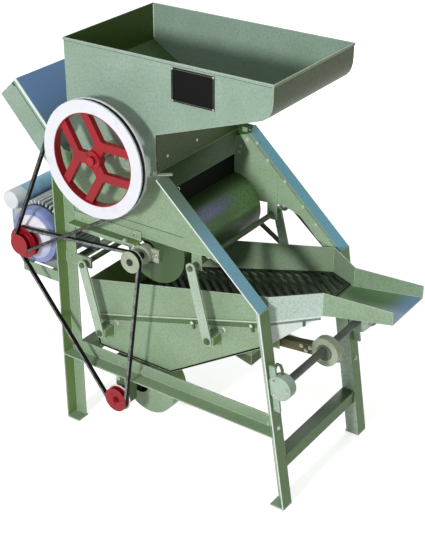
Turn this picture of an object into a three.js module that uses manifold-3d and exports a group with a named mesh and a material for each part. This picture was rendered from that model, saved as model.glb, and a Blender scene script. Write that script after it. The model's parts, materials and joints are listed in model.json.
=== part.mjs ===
// Peanut sheller: a belt-driven bench-height machine with a hopper on top, a shelling rotor,
// two fans, a swinging sieve on four hangers and an eccentric shaft that shakes it.
// Millimetres. +X runs from the motor (rear) to the discharge tray (front), +Y from the
// belt side (near) to the far side, +Z up. The origin is on the floor, mid frame.
import * as THREE from "three";
import { mergeVertices } from "three/addons/utils/BufferGeometryUtils.js";
import Module from "manifold-3d";

const wasm = await Module();
wasm.setup();

// Clearances and sheet thicknesses that many pieces share
const seatGap = 0.3;
const runningGap = 0.4;
const sheet = 2;
const overrun = 5;
const beltWidth = 13;
const beltThick = 8;
const beltGap = 1;
const fullTurn = 360;
const quarterTurn = fullTurn / 4;

// The angle-iron frame: legs, knee and rails
const frame = {
  flange: 40, wall: 4, innerY: 195, rearX: -392, footX: 392, kneeX: 300, kneeZ: 597,
  topX: -23, topZ: 894.6, footPlate: 45, footThick: 5, rearTopZ: 877.6,
};
const rail = { lowZ: 228, midZ: 670, midFlange: 30, midEndX: -112, crossTopZ: 151, crossRearZ: 240 };

// Two sheet sides between the legs
const sidePlate = {
  rearInset: 2, lowZ: 684, skirtEndX: -150, skirtZ: 640, edgeInset: 5, cornerShare: 0.03,
  archX: 221, archZ: 616, archMidX: 165, archMidZ: 672, archTopX: 108, archTopZ: 690,
};

// The hopper and the throat under it
const hopper = {
  rearX: -352, frontX: 302, height: 328.4, noseX: 262, throatX: -54, floorEndX: -258, bendSteps: 6,
  wallEndShare: 0.8782, noseShare: 0.6925, throatShare: 0.3636, floorShare: 0.6742, floorEndShare: 0.5067,
};

function hopperZ(share) {
  return frame.rearTopZ + hopper.height * share;
}

const lip = { foldZ: 890, endX: -10, endZ: 853 };
const namePlate = { x: 1, topDrop: 13, width: 132, height: 90, thick: 1.5 };

// The shell chute, a square duct that climbs to the rear
const chute = { mouthX: -542, mouthZ: 1053, depth: 86, riseX: 0.675, riseZ: 0.738, endX: -354 };

// Shafts: where each axis stands, and its radius
const rotor = {
  x: -196, z: 924, shaftRadius: 12, drumRadius: 96, discThick: 6, discRadius: 88, bar: 14, bars: 6,
  halfLength: 172, nearEndY: -294, farEndY: 226,
};
const motor = {
  x: -492, z: 588, radius: 99, bellRadius: 86, noseRadius: 30, noseY: -240, rimY: -216, bellY: -206, bodyY: -184,
  bodyEndY: -12, coverY: 10, farY: 22, shaftRadius: 11, boreEndY: -150, seatDrop: 108,
};
const blower = {
  x: -98, z: 642, shaftRadius: 10, casingX: -68, casingZ: 656, casingRadius: 98, casingHalf: 188.1,
  bladeRadius: 58, blades: 6, bladeThick: 3, openFrom: 150, openTo: 235, nearEndY: -268, farEndY: 270,
};
const fan = {
  x: -172, z: 165, shaftRadius: 8, housingX: -136, housingRadius: 90, wallNearY: -150, wallFarY: -84,
  inletRadius: 34, bladeRadius: 40, blades: 6, bladeThick: 3, ductRearX: -222, ductFrontX: -160, ductTopZ: 238,
  barWidth: 30, barThick: 4, nearEndY: -268, farEndY: 234,
};
const crank = {
  x: 361, z: 388, shaftRadius: 11, throwDrop: 9, discRadius: 24, discHalf: 16, strapRadius: 43,
  strapY: 21, strapHalf: 13, armHeight: 34, eyeHeight: 24, armEndX: 218, armEndZ: 362,
  nearEndY: -222, farEndY: 270,
};

// The belt lines and the pulleys that run in them
const beltLine = { main: -274, fans: -256, far: 258 };
const pulley = {
  big: 165, bigRim: 131, bigInner: 128, bigHub: 26, bigHalf: 12, web: 9, spokeWidth: 24,
  spokeHalf: 8, forkRadius: 50, spokePhase: 60,
  motorMain: 32, motorFans: 48, fan: 38, blower: 32, blowerFar: 22, crank: 42,
  idlerRoller: 12, idlerLip: 15,
  half: 9, grooveDepth: 11,
};

// The sieve: hanger pivots, the box, its deck and its tray
const hanger = {
  rearX: -312, rearZ: 548, frontX: 70, frontZ: 655, dropX: 53, dropZ: -209, width: 29, thick: 5,
  planeY: 216, rodRadius: 8, pinRadius: 6, rodEndY: 224,
};
const sieve = {
  halfWidth: 172, rearX: -330, rearTopZ: 478, rearLowX: -298, rearLowZ: 263, dipX: -37, dipZ: 261,
  frontX: 288, frontTopZ: 616, frontLowZ: 464, deckX: 56, deckZ: 474, deckSlope: 0.272,
  bracketWidth: 34, bracketHeight: 26, spoutRearX: 88, spoutFrontX: 166, spoutHalf: 60, spoutLowZ: 300,
  cheekX: 206, cheekHalf: 15, cheekGap: 19, cheekLowZ: 346,
};
const deck = { slots: 34, slotShare: 0.5, thick: 3, ribInset: 12, endX: 386, endHalf: 92 };
const tray = {
  neckX: 402, neckHalf: 86, tipX: 604, floorZ: 566, floorTipZ: 596, wallTopZ: 625,
  wallTipZ: 633, joinTopZ: 616, skirtZ: 528, skirtNeckZ: 556,
};

const paint = { color: 0x9fb8a4, roughness: 0.5, metalness: 0.1 };
const darkPaint = { color: 0x4f6f4a, roughness: 0.5, metalness: 0.1 };
const steel = { color: 0x9a9a98, roughness: 0.35, metalness: 0.9 };
const rubber = { color: 0x161616, roughness: 0.8, metalness: 0 };
const redPaint = { color: 0xc41226, roughness: 0.4, metalness: 0 };
const castGrey = { color: 0xb9bfae, roughness: 0.6, metalness: 0.3 };
const motorBlue = { color: 0x7f9fb8, roughness: 0.5, metalness: 0.2 };
const blackPlate = { color: 0x101010, roughness: 0.5, metalness: 0.1 };
const screenBlack = { color: 0x1d1f1b, roughness: 0.6, metalness: 0.4 };

const machine = new THREE.Group();
machine.name = "peanut_sheller";

function addPiece(name, geometry, look) {
  const mesh = new THREE.Mesh(geometry, new THREE.MeshStandardMaterial(look));
  mesh.name = name;
  machine.add(mesh);
}

// Booleans
function toSolid(geometry) {
  const bare = geometry.clone();
  bare.deleteAttribute("normal");
  bare.deleteAttribute("uv");
  const joined = mergeVertices(bare, 1e-4);
  const index = joined.index ?? mergeVertices(joined).index;
  return new wasm.Manifold(new wasm.Mesh({
    numProp: 3,
    vertProperties: new Float32Array(joined.attributes.position.array),
    triVerts: new Uint32Array(index.array),
  }));
}

function toGeometry(solid) {
  const mesh = solid.getMesh();
  const geometry = new THREE.BufferGeometry();
  geometry.setAttribute("position", new THREE.BufferAttribute(new Float32Array(mesh.vertProperties), 3));
  geometry.setIndex(new THREE.BufferAttribute(new Uint32Array(mesh.triVerts), 1));
  geometry.computeVertexNormals();
  return geometry;
}

function join(...geometries) {
  return toGeometry(geometries.map(toSolid).reduce((sum, solid) => sum.add(solid)));
}

function cut(geometry, ...tools) {
  return toGeometry(tools.map(toSolid).reduce((rest, tool) => rest.subtract(tool), toSolid(geometry)));
}

// Basic shapes, each placed by its real corners or its axis
function box(x0, x1, y0, y1, z0, z1) {
  const geometry = new THREE.BoxGeometry(x1 - x0, Math.abs(y1 - y0), z1 - z0);
  return geometry.translate((x0 + x1) / 2, (y0 + y1) / 2, (z0 + z1) / 2);
}

function shapeFrom(points, holes = []) {
  const shape = new THREE.Shape(points.map(([a, b]) => new THREE.Vector2(a, b)));
  for (const hole of holes) {
    shape.holes.push(new THREE.Path(hole.map(([a, b]) => new THREE.Vector2(a, b))));
  }
  return shape;
}

// A plate whose outline is drawn in X and Z and whose thickness runs from y0 to y1
function sidePanel(points, y0, y1, holes = []) {
  const low = Math.min(y0, y1);
  const high = Math.max(y0, y1);
  const geometry = new THREE.ExtrudeGeometry(shapeFrom(points, holes), { depth: high - low, bevelEnabled: false });
  return geometry.rotateX(Math.PI / 2).translate(0, high, 0);
}

// A plate whose outline is drawn in X and Y and whose thickness runs from z0 to z1
function flatPanel(points, z0, z1) {
  const geometry = new THREE.ExtrudeGeometry(shapeFrom(points), { depth: z1 - z0, bevelEnabled: false });
  return geometry.translate(0, 0, z0);
}

// A sheet that follows a line in X and Z, its thickness to the right of the line
function foldedSheet(line, thick, y0, y1) {
  const back = line.map((point, i) => offsetPoint(line, i, thick)).reverse();
  return sidePanel([...line, ...back], y0, y1);
}

function offsetPoint(line, i, thick) {
  const here = new THREE.Vector2(...line[i]);
  const before = i > 0 ? here.clone().sub(new THREE.Vector2(...line[i - 1])).normalize() : null;
  const after = i < line.length - 1 ? new THREE.Vector2(...line[i + 1]).sub(here).normalize() : null;
  const first = before ?? after;
  const last = after ?? before;
  const normal = new THREE.Vector2(first.y + last.y, -first.x - last.x).normalize();
  const stretch = thick / normal.dot(new THREE.Vector2(last.y, -last.x));
  return [here.x + normal.x * stretch, here.y + normal.y * stretch];
}

function rod(x, z, radius, y0, y1, sides = 24) {
  const geometry = new THREE.CylinderGeometry(radius, radius, Math.abs(y1 - y0), sides);
  return geometry.translate(x, (y0 + y1) / 2, z);
}

// A turned piece: profile points are [radius, distance along Y]
function turned(profile, x, z, sides = 32) {
  const line = profile.map(([radius, y]) => new THREE.Vector2(radius, y));
  return new THREE.LatheGeometry(line, sides).translate(x, 0, z);
}

function ring(x, z, outer, inner, y0, y1, sides = 32) {
  const low = Math.min(y0, y1);
  const high = Math.max(y0, y1);
  return turned([[inner, low], [outer, low], [outer, high], [inner, high], [inner, low]], x, z, sides);
}

function circlePoints(x, z, radius, count) {
  return Array.from({ length: count }, (_, i) => {
    const angle = (i / count) * 2 * Math.PI;
    return [x + radius * Math.cos(angle), z + radius * Math.sin(angle)];
  });
}

// Points of an arc, in degrees from +X towards +Z
function arcPoints(x, z, radius, from, to, steps) {
  return Array.from({ length: steps + 1 }, (_, i) => {
    const angle = THREE.MathUtils.degToRad(from + ((to - from) * i) / steps);
    return [x + radius * Math.cos(angle), z + radius * Math.sin(angle)];
  });
}

function along(start, end, share) {
  return [start[0] + (end[0] - start[0]) * share, start[1] + (end[1] - start[1]) * share];
}

// The frame
const footLine = [[frame.footX, 0], [frame.kneeX, frame.kneeZ]];
const slantLine = [[frame.kneeX, frame.kneeZ], [frame.topX, frame.topZ]];
const legLine = [footLine[0], slantLine[0], slantLine[1]];

function legX(z) {
  return frame.footX + ((frame.kneeX - frame.footX) * z) / frame.kneeZ;
}

// One length of angle iron along part of the front leg's line, mitred at the knee
function legAngle(first, side) {
  const corners = [0, 1, 2].map((i) => offsetPoint(legLine, i, -frame.flange));
  const thin = [0, 1, 2].map((i) => offsetPoint(legLine, i, -frame.wall));
  const inner = side * (frame.innerY - frame.wall);
  const web = [legLine[first], legLine[first + 1], corners[first + 1], corners[first]];
  const flange = [legLine[first], legLine[first + 1], thin[first + 1], thin[first]];
  return join(
    sidePanel(web, inner, side * frame.innerY),
    sidePanel(flange, inner, side * (frame.innerY + frame.flange)),
  );
}

function footPlate(x0, side) {
  return box(
    x0, x0 + frame.footPlate, side * (frame.innerY - frame.wall), side * (frame.innerY + frame.flange),
    0, frame.footThick,
  );
}

function frontLeg(side) {
  const leg = legAngle(0, side);
  const span = frame.flange + frame.wall;
  const floorCut = box(
    frame.footX - 2 * span, frame.footX + span, -frame.innerY - span, frame.innerY + span, -span, 0,
  );
  return cut(join(leg, footPlate(frame.footX - frame.footPlate, side)), floorCut);
}

function slantedLeg(side) {
  const unit = new THREE.Vector2(slantLine[1][0] - slantLine[0][0], slantLine[1][1] - slantLine[0][1]).normalize();
  return legAngle(1, side).translate(unit.x * seatGap, 0, unit.y * seatGap);
}

function rearLeg(side) {
  const inner = side * (frame.innerY - frame.wall);
  const bracketEnd = hanger.rearX + hanger.rodRadius * 2;
  const bracketLow = hanger.rearZ - hanger.rodRadius * 2;
  const bracketTop = hanger.rearZ + hanger.rodRadius * 2;
  const leg = join(
    box(frame.rearX, frame.rearX + frame.flange, inner, side * frame.innerY, 0, frame.rearTopZ),
    box(frame.rearX, frame.rearX + frame.wall, inner, side * (frame.innerY + frame.flange), 0, frame.rearTopZ),
    footPlate(frame.rearX, side),
    box(frame.rearX + frame.wall, bracketEnd, inner, side * (frame.innerY + frame.wall), bracketLow, bracketTop),
  );
  const bore = hanger.rodRadius + seatGap;
  const outer = side * (frame.innerY + frame.flange);
  return cut(leg, rod(hanger.rearX, hanger.rearZ, bore, inner - side * overrun, outer));
}

function lowerRail(side) {
  const inner = side * (frame.innerY - frame.wall);
  const webEnd = legX(rail.lowZ + frame.flange) - frame.flange - frame.wall;
  const flangeEnd = legX(rail.lowZ + frame.wall) - frame.wall * 2;
  return join(
    box(frame.rearX + frame.flange + seatGap, webEnd, inner, side * frame.innerY,
      rail.lowZ, rail.lowZ + frame.flange),
    box(frame.rearX + frame.flange + seatGap, webEnd, inner, side * (frame.innerY + frame.flange),
      rail.lowZ, rail.lowZ + frame.wall),
    box(frame.rearX + frame.wall + seatGap, flangeEnd, side * (frame.innerY + seatGap),
      side * (frame.innerY + frame.flange), rail.lowZ, rail.lowZ + frame.wall),
  );
}

function middleRail(side) {
  const inner = side * (frame.innerY - frame.wall);
  const start = frame.rearX + frame.flange + seatGap;
  return join(
    box(start, rail.midEndX, inner, side * frame.innerY, rail.midZ, rail.midZ + rail.midFlange),
    box(start, rail.midEndX, inner, side * (frame.innerY + rail.midFlange), rail.midZ, rail.midZ + frame.wall),
  );
}

// The wide front member and its hidden twin between the rear legs
function crossRail(x, topZ) {
  const reach = frame.innerY - frame.wall - seatGap;
  return join(
    box(x - frame.flange, x, -reach, reach, topZ - frame.wall, topZ),
    box(x - frame.wall, x, -reach, reach, topZ - frame.flange, topZ),
  );
}

function sidePlateSheet(side) {
  const outer = side * (frame.innerY - frame.wall - seatGap);
  const inner = outer - side * sheet;
  const slantTop = along(slantLine[1], slantLine[0], sidePlate.cornerShare);
  const slantEnd = along(slantLine[1], slantLine[0], 1 - sidePlate.cornerShare);
  const points = [
    [sidePlate.skirtEndX, sidePlate.lowZ], [sidePlate.skirtEndX, sidePlate.skirtZ],
    [frame.rearX + sidePlate.rearInset, sidePlate.skirtZ], [frame.rearX + sidePlate.rearInset, frame.rearTopZ],
    [slantTop[0] - sidePlate.edgeInset * 3, frame.rearTopZ],
    [slantTop[0] - sidePlate.edgeInset, slantTop[1] - sidePlate.edgeInset * 2],
    [slantEnd[0] - sidePlate.edgeInset, slantEnd[1] - sidePlate.edgeInset],
    [sidePlate.archX, sidePlate.archZ], [sidePlate.archMidX, sidePlate.archMidZ],
    [sidePlate.archTopX, sidePlate.archTopZ], [sidePlate.archTopX - frame.flange * 2, sidePlate.lowZ],
  ].reverse();
  const lug = hanger.rodRadius * 2;
  const bracket = box(
    hanger.frontX - lug, hanger.frontX + lug, inner - side * frame.wall, inner + side * seatGap,
    hanger.frontZ - lug, sidePlate.lowZ + frame.flange,
  );
  const bore = rod(hanger.frontX, hanger.frontZ, hanger.rodRadius + seatGap, inner - side * frame.flange, outer);
  return cut(join(sidePanel(points, inner, outer), bracket), bore);
}

for (const [side, word] of [[-1, "near"], [1, "far"]]) {
  addPiece(`rear_leg_${word}`, rearLeg(side), paint);
  addPiece(`front_leg_${word}`, frontLeg(side), paint);
  addPiece(`slanted_leg_${word}`, slantedLeg(side), paint);
  addPiece(`lower_rail_${word}`, lowerRail(side), paint);
  addPiece(`middle_rail_${word}`, middleRail(side), paint);
  addPiece(`side_plate_${word}`, sidePlateSheet(side), paint);
}
addPiece("front_cross_rail", crossRail(legX(rail.crossTopZ) - seatGap, rail.crossTopZ), darkPaint);
addPiece("rear_cross_rail", crossRail(frame.rearX + frame.flange + frame.wall, rail.crossRearZ), darkPaint);

// The hopper: two sides, a front that curls under, and a rear wall with its sloping floor
const noseLine = [
  [hopper.frontX, hopperZ(1)],
  ...Array.from({ length: hopper.bendSteps + 1 }, (_, i) => {
    const curve = new THREE.QuadraticBezierCurve(
      new THREE.Vector2(hopper.frontX, hopperZ(hopper.wallEndShare)),
      new THREE.Vector2(hopper.frontX, hopperZ(hopper.noseShare) + (hopper.frontX - hopper.noseX) / 4),
      new THREE.Vector2(hopper.noseX, hopperZ(hopper.noseShare)),
    );
    const point = curve.getPoint(i / hopper.bendSteps);
    return [point.x, point.y];
  }),
  [hopper.throatX, hopperZ(hopper.throatShare)],
];
const hopperInside = frame.innerY - sheet - seatGap;
const throatHalf = frame.innerY - frame.wall - sheet - 2 * seatGap;

function hopperSide(side) {
  const points = [
    ...noseLine, [hopper.throatX, frame.rearTopZ + seatGap], [hopper.rearX, frame.rearTopZ + seatGap],
    [hopper.rearX, hopperZ(1)],
  ].reverse();
  const shaftHole = circlePoints(rotor.x, rotor.z, rotor.shaftRadius + 2 * overrun, 24);
  return sidePanel(points, side * (frame.innerY - sheet), side * frame.innerY, [shaftHole]);
}

function hopperRear() {
  const inX = hopper.rearX + sheet;
  const floorZ = hopperZ(hopper.floorShare);
  const floorStart = [hopper.rearX + sheet / 2, floorZ + sheet / 2];
  const floorEnd = [hopper.floorEndX, hopperZ(hopper.floorEndShare)];
  return join(
    box(hopper.rearX, inX, -hopperInside, hopperInside, frame.rearTopZ + seatGap, hopperZ(1)),
    foldedSheet([floorStart, floorEnd], sheet, -hopperInside, hopperInside),
  );
}

addPiece("hopper_side_near", hopperSide(-1), paint);
addPiece("hopper_side_far", hopperSide(1), paint);
addPiece("hopper_front", foldedSheet(noseLine, sheet, -hopperInside, hopperInside), darkPaint);
addPiece("hopper_rear", hopperRear(), darkPaint);
addPiece("throat_front", foldedSheet([
  [hopper.throatX, hopperZ(hopper.throatShare) - 3 * sheet], [hopper.throatX, lip.foldZ], [lip.endX, lip.endZ],
], sheet, -throatHalf, throatHalf), darkPaint);
addPiece("name_plate", box(
  namePlate.x, namePlate.x + namePlate.width, -frame.innerY - seatGap - namePlate.thick, -frame.innerY - seatGap,
  hopperZ(1) - namePlate.topDrop - namePlate.height, hopperZ(1) - namePlate.topDrop,
), blackPlate);

// The shell chute
function shellChute() {
  const lowMouth = [chute.mouthX - chute.riseZ * chute.depth, chute.mouthZ - chute.riseX * chute.depth];
  const [topLine, lowLine] = [[chute.mouthX, chute.mouthZ], lowMouth].map(([x, z]) => [
    [x, z], [chute.endX, z + ((x - chute.endX) * chute.riseZ) / chute.riseX],
  ]);
  const sides = [-1, 1].map((side) => sidePanel(
    [topLine[0], lowLine[0], lowLine[1], topLine[1]], side * (throatHalf - sheet), side * throatHalf,
  ));
  return join(
    ...sides,
    foldedSheet(topLine, sheet, -throatHalf, throatHalf),
    foldedSheet([lowLine[1], lowLine[0]], sheet, -throatHalf, throatHalf),
  );
}
addPiece("shell_chute", shellChute(), paint);

// Pulleys
function grooveProfile(radius, lineY, half, bore, depth) {
  const halfBelt = beltWidth / 2 + runningGap;
  return [
    [bore, lineY - half], [radius, lineY - half], [radius, lineY - halfBelt], [radius - depth, lineY - halfBelt],
    [radius - depth, lineY + halfBelt], [radius, lineY + halfBelt], [radius, lineY + half], [bore, lineY + half],
    [bore, lineY - half],
  ];
}

// The floor of a groove, which the belt runs on
function grooveFloor(radius) {
  return radius - pulley.grooveDepth;
}

function smallPulley(x, z, radius, lineY, shaftRadius) {
  return turned(grooveProfile(radius, lineY, pulley.half, shaftRadius, pulley.grooveDepth), x, z, 24);
}

// The big pulley: a flat-faced rim, three forks of two spokes each, and a hub
function bigPulley() {
  const y = beltLine.main;
  const rimProfile = grooveProfile(pulley.big, y, pulley.bigHalf, pulley.bigInner, pulley.grooveDepth);
  const rim = turned(rimProfile, rotor.x, rotor.z, 52);
  const bore = rotor.shaftRadius + seatGap;
  const hub = ring(rotor.x, rotor.z, pulley.bigHub, bore, y - pulley.bigHalf, y + pulley.bigHalf);
  const pieces = [rim, hub];
  for (let third = 0; third < 3; third += 1) {
    const turn = THREE.MathUtils.degToRad(pulley.spokePhase + 120 * third);
    const fork = [pulley.forkRadius * Math.cos(turn), pulley.forkRadius * Math.sin(turn)];
    pieces.push(spoke([0, 0], fork, pulley.bigHub / 2, pulley.web, y));
    for (const lean of [-60, 60]) {
      const way = turn + THREE.MathUtils.degToRad(lean);
      const reach = pulley.bigRim - pulley.forkRadius / 2;
      const end = [fork[0] + reach * Math.cos(way), fork[1] + reach * Math.sin(way)];
      pieces.push(spoke(fork, end, 0, 0, y));
    }
  }
  const hole = rod(rotor.x, rotor.z, bore, y - pulley.bigHalf - overrun, y + pulley.bigHalf + overrun);
  const outside = ring(rotor.x, rotor.z, pulley.big * 2, (pulley.bigRim + pulley.bigInner) / 2,
    y - pulley.bigHalf, y + pulley.bigHalf, 52);
  return cut(join(cut(join(...pieces.slice(1)), outside), rim), hole);
}

function spoke(start, end, startLess, widen, y) {
  const way = new THREE.Vector2(end[0] - start[0], end[1] - start[1]).normalize();
  const half = pulley.spokeWidth / 2 + widen / 2;
  const from = [start[0] + way.x * startLess, start[1] + way.y * startLess];
  const points = [
    [rotor.x + from[0] - way.y * half, rotor.z + from[1] + way.x * half],
    [rotor.x + from[0] + way.y * half, rotor.z + from[1] - way.x * half],
    [rotor.x + end[0] + way.y * half, rotor.z + end[1] - way.x * half],
    [rotor.x + end[0] - way.y * half, rotor.z + end[1] + way.x * half],
  ];
  return join(
    sidePanel(points, y - pulley.spokeHalf, y + pulley.spokeHalf),
    rod(rotor.x + end[0], rotor.z + end[1], half, y - pulley.spokeHalf, y + pulley.spokeHalf, 12),
    rod(rotor.x + from[0], rotor.z + from[1], half, y - pulley.spokeHalf, y + pulley.spokeHalf, 12),
  );
}

// A closed belt round pulleys that all lie inside its loop
function beltLoop(wheels, lineY) {
  const inside = hullOfCircles(wheels.map(([x, z, radius]) => [x, z, grooveFloor(radius) + beltGap]));
  const outside = hullOfCircles(wheels.map(([x, z, radius]) => [x, z, grooveFloor(radius) + beltGap + beltThick]));
  return sidePanel(outside, lineY - beltWidth / 2, lineY + beltWidth / 2, [inside]);
}

function hullOfCircles(circles) {
  const points = circles.flatMap(([x, z, radius]) => circlePoints(x, z, radius, 40));
  points.sort((a, b) => a[0] - b[0] || a[1] - b[1]);
  const turn = (o, a, b) => (a[0] - o[0]) * (b[1] - o[1]) - (a[1] - o[1]) * (b[0] - o[0]);
  const half = (list) => {
    const chain = [];
    for (const point of list) {
      while (chain.length > 1 && turn(chain.at(-2), chain.at(-1), point) <= 0) {
        chain.pop();
      }
      chain.push(point);
    }
    chain.pop();
    return chain;
  };
  return [...half(points), ...half([...points].reverse())];
}

// The shelling rotor and its concave grate
function shellingRotor() {
  const discs = [-1, 1].map((side) => ring(
    rotor.x, rotor.z, rotor.discRadius, rotor.shaftRadius + seatGap,
    side * rotor.halfLength, side * (rotor.halfLength - rotor.discThick),
  ));
  const bars = Array.from({ length: rotor.bars }, (_, i) => {
    const angle = (i / rotor.bars) * 2 * Math.PI;
    const reach = rotor.drumRadius - rotor.bar;
    return box(-rotor.bar / 2, rotor.bar / 2, -rotor.halfLength, rotor.halfLength, reach, reach + rotor.bar)
      .rotateY(angle).translate(rotor.x, 0, rotor.z);
  });
  return join(...discs, ...bars);
}

const concave = {
  gap: 10, thick: 4, fromTurn: 205, toTurn: 335, arcSteps: 20, slots: 9, slotHalf: 5, slotInset: 20,
  firstTurn: 52, turnStep: 13,
};

function concaveGrate() {
  const inner = rotor.drumRadius + concave.gap;
  const outer = inner + concave.thick;
  const shell = [
    ...arcPoints(rotor.x, rotor.z, outer, concave.fromTurn, concave.toTurn, concave.arcSteps),
    ...arcPoints(rotor.x, rotor.z, inner, concave.toTurn, concave.fromTurn, concave.arcSteps),
  ];
  const half = frame.innerY - frame.wall - sheet - 2 * seatGap;
  const slotReach = half - concave.slotInset;
  const slots = Array.from({ length: concave.slots }, (_, i) => {
    const slot = box(
      -concave.slotHalf, concave.slotHalf, -slotReach, slotReach, -outer - overrun, -inner + overrun,
    );
    const turn = THREE.MathUtils.degToRad(concave.firstTurn - i * concave.turnStep);
    return slot.rotateY(turn).translate(rotor.x, 0, rotor.z);
  });
  return cut(sidePanel(shell, -half, half), ...slots);
}

addPiece("big_pulley", bigPulley(), redPaint);
addPiece("rotor_shaft", rod(rotor.x, rotor.z, rotor.shaftRadius, rotor.nearEndY, rotor.farEndY), steel);
addPiece("shelling_rotor", shellingRotor(), steel);
addPiece("concave_grate", concaveGrate(), steel);

// A flanged bearing: a base on a wall, and a cup round the shaft
const bearing = { wide: 92, tall: 38, base: 8, cupRadius: 27, cupDepth: 24 };

function wallBearing(x, z, shaftRadius, side, wallY) {
  const base = box(
    x - bearing.wide / 2, x + bearing.wide / 2, side * wallY, side * (wallY + bearing.base),
    z - bearing.tall / 2, z + bearing.tall / 2,
  );
  const cup = rod(x, z, bearing.cupRadius, side * wallY, side * (wallY + bearing.cupDepth));
  const boreEnd = wallY + bearing.cupDepth + overrun;
  const bore = rod(x, z, shaftRadius + runningGap, side * (wallY - overrun), side * boreEnd);
  return cut(join(base, cup), bore);
}

for (const [side, word] of [[-1, "near"], [1, "far"]]) {
  addPiece(`rotor_bearing_${word}`,
    wallBearing(rotor.x, rotor.z, rotor.shaftRadius, side, frame.innerY + seatGap), castGrey);
  addPiece(`blower_bearing_${word}`,
    wallBearing(blower.x, blower.z, blower.shaftRadius, side, blower.casingHalf + seatGap), castGrey);
}

// The blower: a rolled casing open to the rear, with its rotor, and a small fan under the sieve
function blowerCasing() {
  const inner = blower.casingRadius - sheet;
  const shell = [
    ...arcPoints(blower.casingX, blower.casingZ, blower.casingRadius, blower.openTo - fullTurn, blower.openFrom, 30),
    ...arcPoints(blower.casingX, blower.casingZ, inner, blower.openFrom, blower.openTo - fullTurn, 30),
  ];
  const ends = [-1, 1].map((side) => rod(
    blower.casingX, blower.casingZ, blower.casingRadius - sheet / 2,
    side * blower.casingHalf, side * (blower.casingHalf - sheet), 32,
  ));
  const inlets = rod(blower.x, blower.z, fan.inletRadius, -blower.casingHalf - overrun, blower.casingHalf + overrun);
  return cut(join(sidePanel(shell, -blower.casingHalf, blower.casingHalf), ...ends), inlets);
}

function bladedShaft(fanSizes, bladeNearY, bladeFarY) {
  const blades = Array.from({ length: fanSizes.blades }, (_, i) => box(
    -fanSizes.bladeThick / 2, fanSizes.bladeThick / 2, bladeNearY, bladeFarY, 0, fanSizes.bladeRadius,
  ).rotateY((i / fanSizes.blades) * 2 * Math.PI).translate(fanSizes.x, 0, fanSizes.z));
  return join(rod(fanSizes.x, fanSizes.z, fanSizes.shaftRadius, fanSizes.nearEndY, fanSizes.farEndY), ...blades);
}

function fanHousing() {
  const inner = fan.housingRadius - sheet;
  const [near, far] = [fan.wallNearY, fan.wallFarY];
  const outside = join(
    rod(fan.housingX, fan.z, fan.housingRadius, near, far, 40),
    box(fan.ductRearX, fan.ductFrontX, near, far, fan.z, fan.ductTopZ),
  );
  const inside = join(
    rod(fan.housingX, fan.z, inner, near + sheet, far - sheet, 40),
    box(fan.ductRearX + sheet, fan.ductFrontX - sheet, near + sheet, far - sheet, fan.z, fan.ductTopZ + overrun),
  );
  const inlets = rod(fan.x, fan.z, fan.inletRadius, near - overrun, far + overrun);
  const barEnd = frame.innerY - frame.wall - seatGap;
  const bars = [[fan.ductRearX - fan.barWidth, fan.ductRearX + sheet / 2], [fan.ductFrontX - sheet / 2,
    fan.ductFrontX + fan.barWidth]].map(([x0, x1]) => box(
    x0, x1, -barEnd, barEnd, fan.ductTopZ - fan.barThick, fan.ductTopZ,
  ));
  return join(cut(outside, inside, inlets), ...bars);
}

const hungBearing = { half: 24, low: 22, nearY: 193, farY: 228 };

function fanBearing(side) {
  const block = box(
    fan.x - hungBearing.half, fan.x + hungBearing.half, side * hungBearing.nearY, side * hungBearing.farY,
    fan.z - hungBearing.low, rail.lowZ - seatGap,
  );
  const bore = fan.shaftRadius + runningGap;
  const [start, end] = [hungBearing.nearY - overrun, hungBearing.farY + overrun];
  return cut(block, rod(fan.x, fan.z, bore, side * start, side * end));
}

addPiece("blower_casing", blowerCasing(), darkPaint);
const bladeHalf = blower.casingHalf - 4 * overrun;
addPiece("blower_rotor", bladedShaft(blower, -bladeHalf, bladeHalf), steel);
addPiece("blower_pulley", smallPulley(
  blower.x, blower.z, pulley.blower, beltLine.fans, blower.shaftRadius + seatGap), castGrey);
addPiece("blower_far_pulley", smallPulley(
  blower.x, blower.z, pulley.blowerFar, beltLine.far, blower.shaftRadius + seatGap), castGrey);
addPiece("fan_housing", fanHousing(), paint);
addPiece("fan_rotor", bladedShaft(fan, fan.wallNearY + 2 * overrun, fan.wallFarY - 2 * overrun), steel);
addPiece("fan_pulley", smallPulley(fan.x, fan.z, pulley.fan, beltLine.fans, fan.shaftRadius + seatGap), redPaint);
addPiece("fan_bearing_near", fanBearing(-1), castGrey);
addPiece("fan_bearing_far", fanBearing(1), castGrey);

// The motor on its base behind the rear legs
const motorBase = {
  topZ: motor.z - motor.seatDrop, barThick: 6, barWidth: 30, rearX: -566, frontBarX: -456, armHeight: 34,
  footHeight: 40, footWidth: 20, footInset: 38,
};
const capacitor = { x: -583, rise: 89, radius: 28, nearY: -212, farY: 0 };
const capacitorZ = motor.z + capacitor.rise;
const terminalBox = {
  rearX: -620, frontX: -566, drop: 22, nearY: -176, farY: -96,
};

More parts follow.
